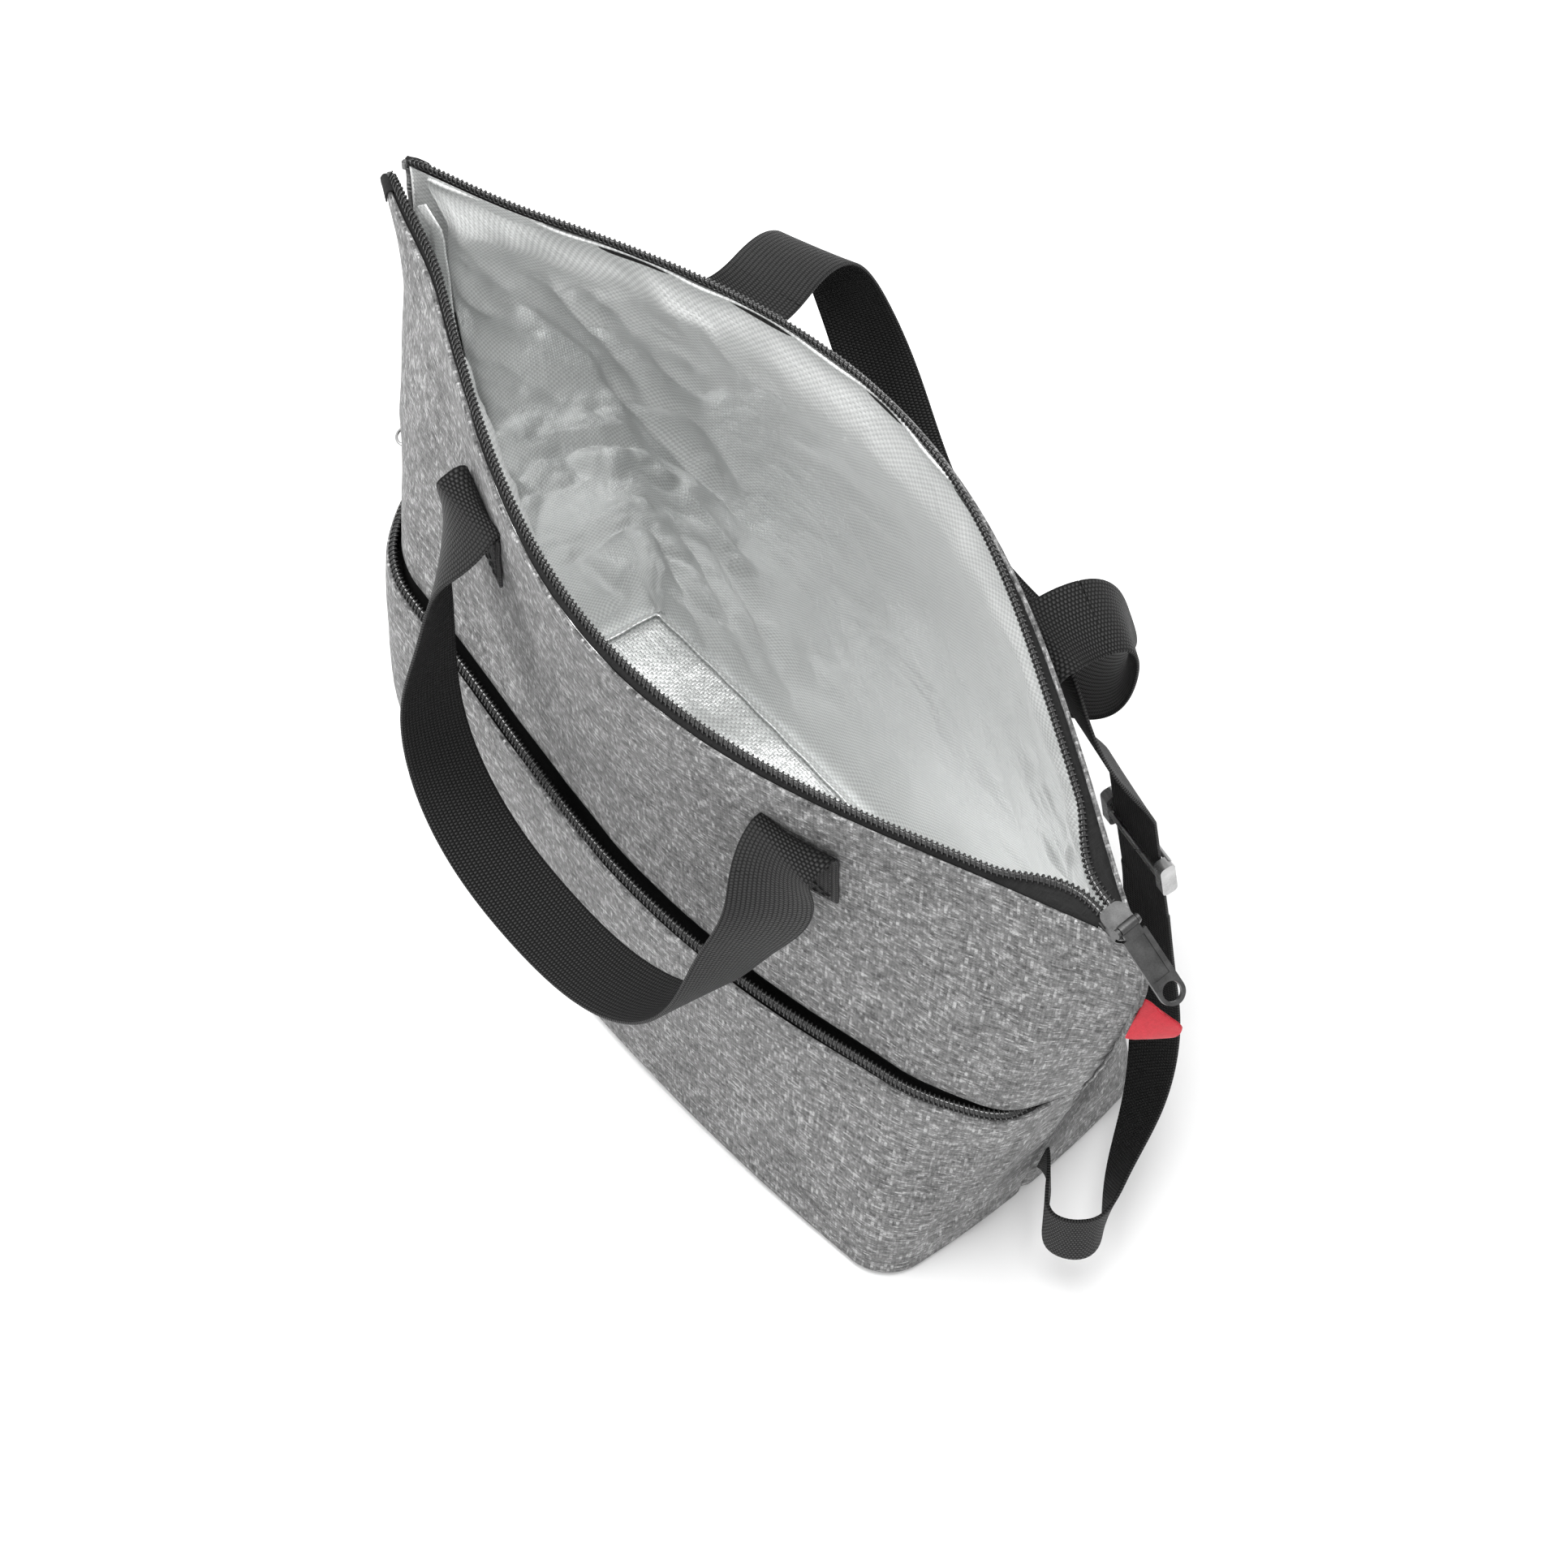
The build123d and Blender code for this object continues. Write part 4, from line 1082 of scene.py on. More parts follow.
@dataclass
class OuterShell:
    """Front, pocket, back and base panels of grey fabric."""

    thick: float = 0.7
    base_thick: float = 0.8
    hem: float = 0.9
    top_hem: float = 5.0
    top_turns: tuple = (50, 100, 150, 180)
    lower_hem: float = 4.0
    lower_turns: tuple = (60, 120, 180)
    foot: float = 0.4
    front_shift: float = 400.0
    upper_edge: float = 180.5
    lower_edge: float = 175.4
    close_at: float = 178.0
    close_gap: float = 1.0
    crowding: float = 1.15
    columns: int = 181
    rows: int = 96
    front_creases: tuple = (
        Crease((150, 345), (178, 250), -1.6, 9),
        Crease((176, 300), (150, 215), 1.8, 11),
        Crease((196, 330), (204, 240), -1.3, 6),
        Crease((-150, 340), (-186, 230), 1.4, 10),
        Crease((-60, 330), (-20, 230), 0.9, 22),
        Crease((60, 300), (110, 205), -0.9, 18),
    )
    pocket_creases: tuple = (
        Crease((186, 170), (150, 70), -1.6, 8),
        Crease((205, 165), (190, 60), 1.7, 7),
        Crease((168, 30), (205, 60), -2.2, 6),
        Crease((186, 12), (214, 40), 1.6, 5),
        Crease((-180, 150), (-150, 60), 1.5, 12),
        Crease((-120, 60), (-20, 90), -0.8, 25),
    )
    back_creases: tuple = (
        Crease((150, 300), (180, 120), -1.5, 12),
        Crease((-150, 320), (-186, 150), 1.5, 12),
        Crease((-60, 200), (40, 120), -1.2, 28),
        Crease((190, 60), (160, 20), 1.8, 8),
        Crease((-190, 60), (-160, 20), 1.8, 8),
    )

    def relief(self, side: Side, u: np.ndarray, z: np.ndarray, creases: tuple) -> np.ndarray:
        """How far the fabric stands out from the smooth surface."""
        s = u * PANEL_HALF
        lift = 1.1 * ripple(s, z, 70, 5 + side.value) + 0.45 * ripple(s, z, 26, 11 + side.value)
        for crease in creases:
            lift = lift + crease.at(s, z)
        top = FORM.mouth_height(s * FORM.mouth_length / 2 / PANEL_HALF)
        calm = smoothstep(0, 26, top - z) * smoothstep(0, 14, z)
        seam = np.exp(-(((1 - np.abs(u)) * PANEL_HALF / 2.2) ** 2))
        near = np.exp(-(((1 - np.abs(u)) * PANEL_HALF / 9) ** 2))
        pucker = 0.35 * np.sin(z / 3.4) * near
        return lift * calm - 1.6 * seam + pucker * calm

    def panel(
        self, name: str, side: Side, low: np.ndarray, high: np.ndarray, creases: tuple, drawn: bool
    ) -> bpy.types.Object:
        """One panel between two edges, turned over at its top, and below where that is at the pocket.

        Args:
            name: The piece's name.
            side: Which half it is on.
            low: Height of its lower edge at each column.
            high: Height of its upper edge.
            creases: Its creases.
            drawn: Whether it draws in behind the pocket.

        Returns:
            The object.
        """
        line = crowded(self.columns, self.crowding)
        share = np.linspace(0, 1, self.rows)[:, None]
        z = low + (high - low) * share
        u = np.broadcast_to(line, z.shape)
        inset = FORM.foot(z) - self.relief(side, u, z, creases)
        face = FORM.wall(side, u, z, inset, drawn)
        inward = FORM.inward(side, line, high / FORM.height_middle)
        over = self.turn(face[-1], inward, UP, self.top_turns, self.top_hem)
        under = []
        if low.max() > self.lower_edge:
            inward = FORM.inward(side, line, low / FORM.height_middle)
            under = self.turn(face[0], inward, -UP, self.lower_turns, self.lower_hem)[::-1]
        before, after = len(under), len(over)
        grid = np.concatenate([row[None] for row in under] + [face] + [row[None] for row in over])
        v = np.concatenate([np.tile(z[0], (before, 1)), z, np.tile(z[-1], (after, 1))])
        past = np.linspace(-5, -1, before), np.zeros(self.rows), np.linspace(1, 6, after)
        v = v + np.concatenate(past)[:, None]
        uv = flat_places(line * PANEL_HALF, v + (0 if drawn else self.front_shift))
        if side is Side.BACK:
            grid, uv = turned_over(grid, uv)
        return sheet_mesh(name, grid, uv, self.thick)

    def turn(
        self, edge: np.ndarray, inward: np.ndarray, way: np.ndarray, turns: tuple, drop: float
    ) -> list:
        """Rows of a hem that goes over an edge and back inside.

        Args:
            edge: The panel's last row.
            inward: Unit vectors into the bag along it.
            way: Unit vector from the panel to beyond the edge.
            turns: How far round it has gone at each row, in degrees.
            drop: How far back inside the hem reaches.

        Returns:
            The rows, from the edge on.
        """
        rows = []
        for angle in (np.radians(turn) for turn in turns):
            offset = inward * (self.hem * (1 - np.cos(angle)))
            rows.append(edge + (offset + way * self.hem * np.sin(angle)))
        return rows + [edge + inward * self.hem * 2 - way * drop]

    def base(self) -> bpy.types.Object:
        """The floor's fabric, up to where the walls turn in."""
        line = np.linspace(-1, 1, 121)
        edge = FORM.foot_round - 1.0
        front = FORM.wall(Side.FRONT, line, 0.0, edge, False)
        back = FORM.wall(Side.BACK, line, 0.0, edge, False)
        share = np.linspace(0, 1, 41)[:, None, None]
        face = front * (1 - share) + back * share
        round_edge = 1 - np.abs(2 * share[..., 0] - 1) ** 10
        ends = 1 - np.abs(line) ** 30
        uneven = 0.3 * ripple(face[..., 0], face[..., 1], 40, 3)
        face[..., 2] = 0.9 - 0.75 * round_edge * ends + uneven * round_edge
        face[..., 2] = np.maximum(face[..., 2], 0.05)
        return sheet_mesh("base_fabric", face[:, ::-1], face[:, ::-1, :2].copy(), self.base_thick)

    def build(self) -> None:
        """Makes and places the four panels."""
        line = crowded(self.columns, self.crowding)
        top = FORM.mouth_height(line * FORM.mouth_length / 2)
        shut = smoothstep(0.84, 0.95, np.abs(line))
        upper = self.upper_edge + (self.close_at + self.close_gap - self.upper_edge) * shut
        lower = self.lower_edge + (self.close_at - self.close_gap - self.lower_edge) * shut
        foot = np.full(self.columns, self.foot)
        parts = (
            ("front", Side.FRONT, upper, top, self.front_creases, True, 0.190),
            ("pocket", Side.FRONT, foot, lower, self.pocket_creases, False, 0.176),
            ("back", Side.BACK, foot, top, self.back_creases, True, 0.370),
        )
        for word, side, low, high, creases, drawn, tall in parts:
            piece = self.panel(f"{word}_fabric", side, low, high, creases, drawn)
            place(dress(piece, FABRIC, Slot.FABRIC), BAG, f"{word}_panel")
        base = self.base()
        place(dress(base, FABRIC, Slot.FABRIC), BAG, "base_panel")


# ---- lining and foam ----------------------------------------------------------------


@dataclass
class Lining:
    """Foil lining: two walls that flare out to the zip, a floor, and its sewn ridges."""

    inset: float = 9.1
    top_inset: float = 2.6
    flare_low: float = 336.0
    foot_height: float = 6.4
    edge_drop: float = 1.0
    thick: float = 0.35
    columns: int = 221
    rows: int = 170
    crowding: float = 1.2
    foot_draw: float = 17.0
    front_foot_draw: float = 6.0
    deepest: float = 2.3
    corner_x: tuple[float, float] = (-204.5, -150.0)
    corner_foot: float = 262.0
    corner_inset: float = 3.2
    front_creases: tuple = (
        Crease((-120, 300), (-150, 200), 2.0, 8),
        Crease((-60, 260), (-120, 150), -2.2, 12),
        Crease((60, 250), (130, 150), 2.0, 14),
        Crease((150, 320), (120, 190), -2.0, 9),
    )
    back_creases: tuple = (
        Crease((-178, 330), (-130, 236), 3.4, 7),
        Crease((-196, 300), (-140, 190), -3.6, 8),
        Crease((-160, 250), (-96, 176), 3.6, 8),
        Crease((-150, 190), (-88, 110), -3.2, 9),
        Crease((-120, 300), (-70, 140), 2.2, 16),
        Crease((-110, 120), (-60, 30), 2.4, 12),
        Crease((150, 340), (186, 200), -2.8, 8),
        Crease((176, 330), (196, 220), 3.0, 6),
        Crease((110, 260), (160, 110), 2.0, 14),
        Crease((70, 220), (110, 60), -1.8, 18),
        Crease((-20, 330), (30, 60), 1.6, 34),
        Crease((130, 120), (176, 40), 2.4, 9),
    )

    def depth(self, side: Side, v: np.ndarray, z: np.ndarray) -> np.ndarray:
        """How far inside the outer surface the lining lies."""
        top = FORM.mouth_height(v * FORM.mouth_length / 2)
        rise = smoothstep(0, 1, (z - self.flare_low) / np.maximum(top - 4 - self.flare_low, 1))
        base = self.inset + (self.top_inset - self.inset) * rise
        draw = self.foot_draw if side is Side.BACK else self.front_foot_draw
        foot = draw * np.exp(-z / 26) * np.cos(v * np.pi / 2) ** 0.35
        return base + foot

    def relief(self, side: Side, v: np.ndarray, z: np.ndarray) -> np.ndarray:
        """Wrinkles of the lining, as distance into the bag."""
        s = v * PANEL_HALF
        crushed = 0.35 + 0.9 * smoothstep(-40, -170, s) + 0.6 * smoothstep(80, 190, s)
        lift = 1.5 * ripple(s, z, 48, 21 + side.value) + 2.0 * ripple(s + 0.4 * z, z, 90, 31)
        sharp = 1 - 2.2 * np.abs(ripple(s + 0.5 * z, z - 0.3 * s, 30, 41 + side.value))
        finer = 1 - 2.2 * np.abs(ripple(s - 0.3 * z, z, 13, 47))
        lift = lift + 1.8 * crushed * sharp + 0.55 * crushed * finer
        creases = self.back_creases if side is Side.BACK else self.front_creases
        for crease in creases:
            lift = lift + crease.at(s, z)
        top = FORM.mouth_height(v * FORM.mouth_length / 2)
        near_top = np.exp(-(((top - z) / 7.0) ** 2))
        scallop = 0.8 * np.sin(s / 9.5 + 1.5 * ripple(s, s * 0, 30, 3)) * near_top
        calm = smoothstep(0, 22, top - z) * smoothstep(0, 20, z - self.foot_height)
        calm = calm * smoothstep(1.0, 0.965, np.abs(v))
        return np.maximum(lift, -self.deepest) * calm + scallop

    def wall(self, side: Side) -> np.ndarray:
        """Grid of one wall's inner face, from the floor up."""
        v = crowded(self.columns, self.crowding)
        top = FORM.mouth_height(v * FORM.mouth_length / 2) - self.edge_drop
        share = np.linspace(0, 1, self.rows)[:, None]
        z = self.foot_height + (top - self.foot_height) * share
        v = np.broadcast_to(v, z.shape)
        depth = self.depth(side, v, z)
        reach = FORM.reach(side, z, depth, 0.3)
        return FORM.wall(side, v * reach, z, depth + self.relief(side, v, z))

    def floor(self, front: np.ndarray, back: np.ndarray) -> np.ndarray:
        """Grid of the floor between the two walls' feet."""
        share = np.linspace(-0.004, 1.004, 71)[:, None, None]
        face = front * (1 - share) + back * share
        x, y = face[..., 0], face[..., 1]
        rim = np.clip(4 * share[..., 0] * (1 - share[..., 0]), 0, 1) ** 0.4
        bump = 1.2 * ripple(x, y, 34, 51) + 0.9 * (1 - 2 * np.abs(ripple(x, y, 22, 57)))
        face[..., 2] = self.foot_height - 0.4 + np.maximum(bump, -0.3) * rim
        return face

    def ridge(self, name: str, line: np.ndarray, out: np.ndarray, width: float = 5.0) -> bpy.types.Object:
        """A sewn seam's folded edge, standing along a line."""
        wave = 1 + 0.15 * np.sin(np.arange(len(line)) * 0.7)
        section = webbing_section(width, 0.9, 0.0)
        return swept_mesh(name, line + out * (width * 0.32) * wave[:, None], out, section)

    def build(self) -> None:
        """Makes and places walls, floor, ridges and corner flaps."""
        walls = {side: self.wall(side) for side in Side}
        for side, face in walls.items():
            uv = flat_places(np.linspace(-PANEL_HALF, PANEL_HALF, self.columns), face[..., 2])
            if side is Side.FRONT:
                face, uv = turned_over(face, uv)
            piece = sheet_mesh(f"{side.word}_foil", face, uv, self.thick)
            place(dress(piece, FOIL, Slot.FOIL), BAG, f"lining_{side.word}")
        feet = walls[Side.FRONT][0], walls[Side.BACK][0]
        face = self.floor(*feet)
        piece = sheet_mesh("floor_foil", face, face[..., :2].copy(), self.thick)
        place(dress(piece, FOIL, Slot.FOIL), BAG, "lining_base")
        self.seams(walls)
        self.edges(walls)
        self.corners()

    def corners(self) -> None:
        """The foil's two flaps in the open left corner, up to the tape's ends."""
        x = np.linspace(*self.corner_x, 46)
        for side in Side:
            u = FORM.place_at(side, x, FORM.height_middle)
            top = FORM.mouth_height(x) - 0.4
            share = np.linspace(0, 1, 26)[:, None]
            z = self.corner_foot + (top - self.corner_foot) * share
            fold = 0.7 * ripple(z, x + z, 7, 71 + side.value) * share * (1 - share) * 4
            face = FORM.wall(side, np.broadcast_to(u, z.shape), z, self.corner_inset + fold)
            face[..., 1] = side.value * np.maximum(side.value * face[..., 1], 0.3)
            uv = flat_places(x, z)
            if side is Side.FRONT:
                face, uv = turned_over(face, uv)
            piece = sheet_mesh(f"{side.word}_corner_foil", face, uv, self.thick)
            place(dress(piece, FOIL, Slot.FOIL), BAG)

    def edges(self, walls: dict) -> None:
        """The foil's turned edge beside each zip tape."""
        for side in Side:
            line = walls[side][-1, 3:-3]
            section = round_section(0.85, 8, 1.3)
            ways = np.tile(UP, (len(line), 1))
            piece = swept_mesh(f"{side.word}_foil_edge", line - [0, 0, 0.3], ways, section)
            place(dress(piece, FOIL, Slot.FOIL), BAG)

    def seams(self, walls: dict) -> None:
        """The ridges where the foil is sewn: round the floor and up both ends."""
        for side in Side:
            foot = walls[side][1, 4:-4]
            inward = unit(-foot * [0.35, 1, 0]) * 0.8 + UP * 0.6
            piece = self.ridge(f"floor_seam_{side.word}", foot + UP * 0.4, unit(inward))
            place(dress(piece, FOIL, Slot.FOIL), BAG)
        for hand, column in ((Hand.LEFT, 0), (Hand.RIGHT, -1)):
            line = (walls[Side.FRONT][3:-3:3, column] + walls[Side.BACK][3:-3:3, column]) / 2
            out = np.tile([-hand.value, 0.15, 0.1], (len(line), 1)).astype(float)
            piece = self.ridge(f"end_seam_{hand.word}", line, unit(out), 6.0)
            place(dress(piece, FOIL, Slot.FOIL), BAG)


@dataclass
class Foam:
    """Closed-cell foam between fabric and foil: two wall pads and a floor pad."""

    half_span: float = 0.9
    foot: float = 1.6
    top: float = 332.5
    inset: float = 3.0
    thick: float = 3.4
    floor_inset: float = 11.2
    floor_top: float = 5.4
    floor_thick: float = 3.8
    rim: int = 3

    def build(self) -> None:
        """Makes and places the three pads."""
        for side in Side:
            u = np.linspace(-self.half_span, self.half_span, 61)
            z = np.linspace(self.foot, self.top, 50)[:, None]
            face = FORM.wall(side, u, z, self.inset)
            uv = flat_places(u * PANEL_HALF, face[..., 2])
            if side is Side.BACK:
                face, uv = turned_over(face, uv)
            piece = sheet_mesh(f"{side.word}_foam_pad", face, uv, self.thick, self.rim)
            place(dress(piece, FOAM, Slot.FOAM), BAG, f"foam_{side.word}")
        line = np.linspace(-1, 1, 91)
        edges = [FORM.wall(side, line, 0.0, self.floor_inset, False) for side in Side]
        share = np.linspace(0.004, 0.996, 31)[:, None, None]
        face = edges[0] * (1 - share) + edges[1] * share
        face[..., 2] = self.floor_top
        piece = sheet_mesh("floor_foam_pad", face, face[..., :2].copy(), self.floor_thick, self.rim)
        place(dress(piece, FOAM, Slot.FOAM), BAG, "foam_base")


# ---- mouth zip ----------------------------------------------------------------------


@dataclass
class MouthZip:
    """Tapes and coils of the mouth, running together into the slider."""

    inset: float = 1.8
    rise: float = 5.0
    left_end: float = 203.5
    slider_x: float = 188.0
    slider_y: float = -0.53
    pitch: float = 2.05
    half_wide: float = 1.95
    half_tall: float = 1.15
    wire: float = 0.40
    tape_thick: float = 0.6
    tape_run: float = 392.0
    tape_drops: tuple = (-9.0, -5.0, -1.5, 0.6)
    gather_x: tuple[float, float] = (150.0, 187.0)
    gather_half: float = 2.3
    gather_height: float = 359.6
    gather_slope: float = 0.14
    end_droop: float = 3.0
    wraps: tuple = ((-5, -0.9), (-2, -1.0), (1.0, -0.9), (2.8, 0.1), (3.0, 1.4), (1.5, 2.6), (-1.5, 2.8))

    def lean(self, side: Side, x: np.ndarray) -> np.ndarray:
        """How far the coil leans in from the tape's foot."""
        if side is Side.FRONT:
            return 2.0 + 1.2 * smoothstep(-183, -60, x)
        return 1.2 + 4.2 * smoothstep(20, 130, x)

    def line(self, side: Side, count: int = 300) -> tuple[np.ndarray, np.ndarray, np.ndarray]:
        """The coil's middle line, and its inward and upward ways."""
        x = np.linspace(-self.left_end, self.slider_x, count)
        u = FORM.place_at(side, x, FORM.height_middle)
        z = FORM.mouth_height(x) + self.rise - 0.35 * self.lean(side, x)
        z = z - self.end_droop * smoothstep(-194, -206, x)
        inward = FORM.inward(side, u, z / FORM.height_middle)
        points = FORM.wall(side, u, z, self.inset + self.lean(side, x))
        points[:, 0] = x
        gather = smoothstep(*self.gather_x, x)
        target = self.slider_y + side.value * self.gather_half
        height = self.gather_height + (self.slider_x + 1 - x) * self.gather_slope
        points[:, 1] = points[:, 1] * (1 - gather) + target * gather
        points[:, 2] = points[:, 2] * (1 - gather) + height * gather
        shut = gather[:, None]
        way = unit(inward * (0.35 + 0.65 * shut) + UP * (0.95 - 0.9 * shut))
        along = unit(np.gradient(points, axis=0))
        way = unit(way - along * np.sum(way * along, -1, keepdims=True))
        return points, way, np.cross(along, way)

    def tape(self, side: Side) -> bpy.types.Object:
        """The woven tape, from between fabric and lining up to the coil."""
        top, way, _ = self.line(side, 220)
        x = top[:, 0]
        u = FORM.place_at(side, x, FORM.height_middle)
        rows = []
        for drop in self.tape_drops:
            z = FORM.mouth_height(x) + drop
            rows.append(FORM.wall(side, u, z, self.inset + 0.2))
        foot = rows[-1]
        for share in (0.35, 0.7, 1.0):
            rows.append(foot * (1 - share) + (top - way * 0.4) * share)
        face = np.stack(rows)
        uv = flat_places(np.linspace(0, self.tape_run, len(x)), np.linspace(0, 14, len(face))[:, None])
        if side is Side.BACK:
            face, uv = turned_over(face, uv)
        return sheet_mesh(f"{side.word}_zip_tape", face, uv, self.tape_thick)

    def build(self) -> None:
        """Makes and places both halves and the folded tape ends."""
        for side in Side:
            word = side.word
            tape = self.tape(side)
            place(dress(tape, TAPE, Slot.TAPE), BAG, f"mouth_tape_{word}")
            middle, way, out = self.line(side)
            coil = helix_mesh(
                f"{word}_zip_coil", middle, way * self.half_wide, out * self.half_tall, self.pitch, self.wire
            )
            place(dress_coil(coil), BAG, f"mouth_coil_{word}")
        self.tabs()

    def tabs(self) -> None:
        """The two tape ends at the open end, folded over and tucked down."""
        x = np.linspace(-self.left_end - 3.7, -self.left_end + 5, 10)
        fall = smoothstep(-self.left_end + 1, -self.left_end - 4, x) * 2.0
        for side in Side:
            u = FORM.place_at(side, x, FORM.height_middle)
            edge = FORM.mouth_height(x)
            face = np.stack([FORM.wall(side, u, edge + drop - fall, inset) for drop, inset in self.wraps])
            uv = flat_places(x, np.linspace(0, 18, len(face))[:, None])
            if side is Side.BACK:
                face, uv = turned_over(face, uv)
            piece = sheet_mesh(f"{side.word}_tape_end", face, uv, 0.7)
            nodes = ("mouth_end_tabs",) if side is Side.FRONT else ()
            place(dress(piece, TAPE, Slot.TAPE), BAG, *nodes)


# ---- pocket zip ---------------------------------------------------------------------


@dataclass
class PocketZip:
    """The front pocket's zip and the black cloth that shows in its gap."""

    coil_span: float = 0.915
    lower_z: float = 178.4
    upper_z: float = 182.0
    half_wide: float = 1.85
    half_tall: float = 0.95
    pitch: float = 1.95
    wire: float = 0.38
    tape_span: float = 0.9
    cloth_span: float = 0.93
    lower_rows: tuple = ((168.0, 2.4), (172.0, 2.3), (175.0, 1.9), (177.0, 1.7), (177.5, 3.4))
    upper_rows: tuple = ((182.5, 2.9), (185.0, 2.7), (188.0, 2.4), (192.0, 2.2))
    cloth_heights: tuple = (14, 40, 70, 100, 130, 150, 162, 170, 176, 179)

    def coil(self, name: str, z: float, inset: float, lie: float, drawn: bool) -> bpy.types.Object:
        """One coil of the pocket's zip.

        Args:
            name: The piece's name.
            z: Height of its middle.
            inset: How far it is inside the outer surface.
            lie: 0 where its flat side faces out, 1 where it faces up.
            drawn: Whether it follows the wall behind the pocket.

        Returns:
            The object.
        """
        u = np.linspace(-self.coil_span, self.coil_span, 260)
        sink = 1.8 * smoothstep(0.84, 0.915, np.abs(u))
        middle = FORM.wall(Side.FRONT, u, z - 0.4 * sink, inset + sink, drawn)
        inward = FORM.inward(Side.FRONT, u, z / FORM.height_middle)
        way = unit(UP * (1 - lie) + lie * inward)
        along = unit(np.gradient(middle, axis=0))
        way = unit(way - along * np.sum(way * along, -1, keepdims=True))
        out = np.cross(along, way)
        return helix_mesh(name, middle, way * self.half_wide, out * self.half_tall, self.pitch, self.wire)

    def strip(self, name: str, rows: tuple, drawn: bool, span: float) -> bpy.types.Object:
        """A sheet along the pocket.

        Args:
            name: The piece's name.
            rows: Its (height, inset) rows, from below.
            drawn: Whether it follows the wall behind the pocket.
            span: How far it reaches to each side, as a share.

        Returns:
            The object.
        """
        u = np.linspace(-span, span, 160)
        face = np.stack([FORM.wall(Side.FRONT, u, z, inset, drawn) for z, inset in rows])
        height = np.array([z for z, _ in rows], float)[:, None]
        return sheet_mesh(name, face, flat_places(u * PANEL_HALF, height), 0.6)

    def build(self) -> None:
        """Makes and places coils, tapes and the pocket's back wall."""
        coils = (("lower", self.lower_z, 3.0, 0.62, False), ("upper", self.upper_z, 3.0, 0.2, True))
        for word, z, inset, lie, drawn in coils:
            piece = self.coil(f"pocket_{word}_coil", z, inset, lie, drawn)
            place(dress_coil(piece), BAG, f"pocket_coil_{word}")
        piece = self.strip("pocket_lower_tape", self.lower_rows, False, self.tape_span)
        place(dress(piece, TAPE, Slot.TAPE), BAG, "pocket_tape_lower")
        piece = self.strip("pocket_upper_tape", self.upper_rows, True, self.tape_span)
        place(dress(piece, TAPE, Slot.TAPE), BAG, "pocket_tape_upper")
        rows = tuple((z, 1.6 + 0.5 * np.sin(z / 30)) for z in self.cloth_heights)
        piece = self.strip("pocket_back_cloth", rows, True, self.cloth_span)
        place(dress(piece, POCKET_CLOTH, Slot.POCKET), BAG, "pocket_lining")


# ---- handles and straps -------------------------------------------------------------

# Stations of a handle's loop: (share of the half spacing, out, up) and its width's way.
FRONT_LEFT = (
    ((-1.0, 0, 0), (1, 0, 0)),
    ((-1.05, 9, -29), (0.74, 0.62, 0.27)),
    ((-0.99, 20, -64), (0.42, 0.84, 0.35)),
    ((-0.91, 31, -98), (0.14, 0.93, 0.32)),
    ((-0.73, 39, -128), (0.07, 0.97, 0.23)),
    ((-0.4, 44, -148), (0, 0.99, 0.16)),
)
FRONT_RIGHT = tuple(((-share, out, up), (-x, y, z)) for (share, out, up), (x, y, z) in FRONT_LEFT[::-1])
FRONT_STATIONS = (*FRONT_LEFT, ((0, 45, -155), (0, 0.99, 0.12)), *FRONT_RIGHT)
BACK_STATIONS = (
    ((-1.0, 0, 0), (1, 0, 0)),
    ((-1.08, 24, -12), (0.97, 0.2, 0.03)),
    ((-1.15, 48, -34), (0.93, 0.3, 0.2)),
    ((-1.02, 55, -66), (0.77, 0.48, 0.42)),
    ((-0.74, 50, -94), (0.58, 0.68, 0.44)),
    ((-0.37, 38, -112), (0.4, 0.82, 0.38)),
    ((0.05, 29, -118), (0.2, 0.9, 0.36)),
    ((0.49, 26, -113), (0.05, 0.95, 0.28)),
    ((0.86, 25, -96), (-0.14, 0.98, 0.1)),
    ((1.08, 26, -67), (-0.46, 0.88, -0.1)),
    ((1.13, 27, -32), (-0.78, 0.61, -0.14)),
    ((1.06, 20, -3), (-0.94, 0.33, -0.07)),
    ((1.0, 0, 0), (-1, 0, 0)),
)


@dataclass
class Band:
    """A run of webbing: its middle line and its width's direction."""

    path: np.ndarray
    across: np.ndarray
    width: float = 32.0
    thick: float = 1.4

    @classmethod
    def through(
        cls,
        points: np.ndarray,
        ways: np.ndarray,
        start: np.ndarray | None,
        end: np.ndarray | None,
        steps: int,
    ) -> "Band":
        """A smooth band through stations.

        Args:
            points: Middle line's stations.
            ways: Width's direction at each.
            start: Way that it leaves the first station.
            end: Way that it reaches the last.
            steps: Points along it.

        Returns:
            The band.
        """
        points, ways = np.asarray(points, float), unit(np.asarray(ways, float))
        places = chord_places(points)
        line = Curve3(points, places, start, end)
        edge = Curve3(points + ways * cls.width, places)
        where = np.linspace(0, 1, steps)
        path = line.at(where)
        return cls(path, edge.at(where) - path)

    def joined(self, other: "Band") -> "Band":
        """This band, then another that starts where it ends."""
        path = np.concatenate([self.path[:-1], other.path])
        return Band(path, np.concatenate([self.across[:-1], other.across]))

    def cut(self, low: int, high: int | None) -> "Band":
        """Part of the band, by point numbers."""
        return Band(self.path[low:high], self.across[low:high])

    def mesh(
        self, name: str, capped: tuple[bool, bool] = (True, True), run_from: float = 0.0
    ) -> bpy.types.Object:
        """The band as a piece, closed at the ends that show."""
        section = webbing_section(self.width, self.thick)
        return swept_mesh(name, self.path, self.across, section, capped, run_from)


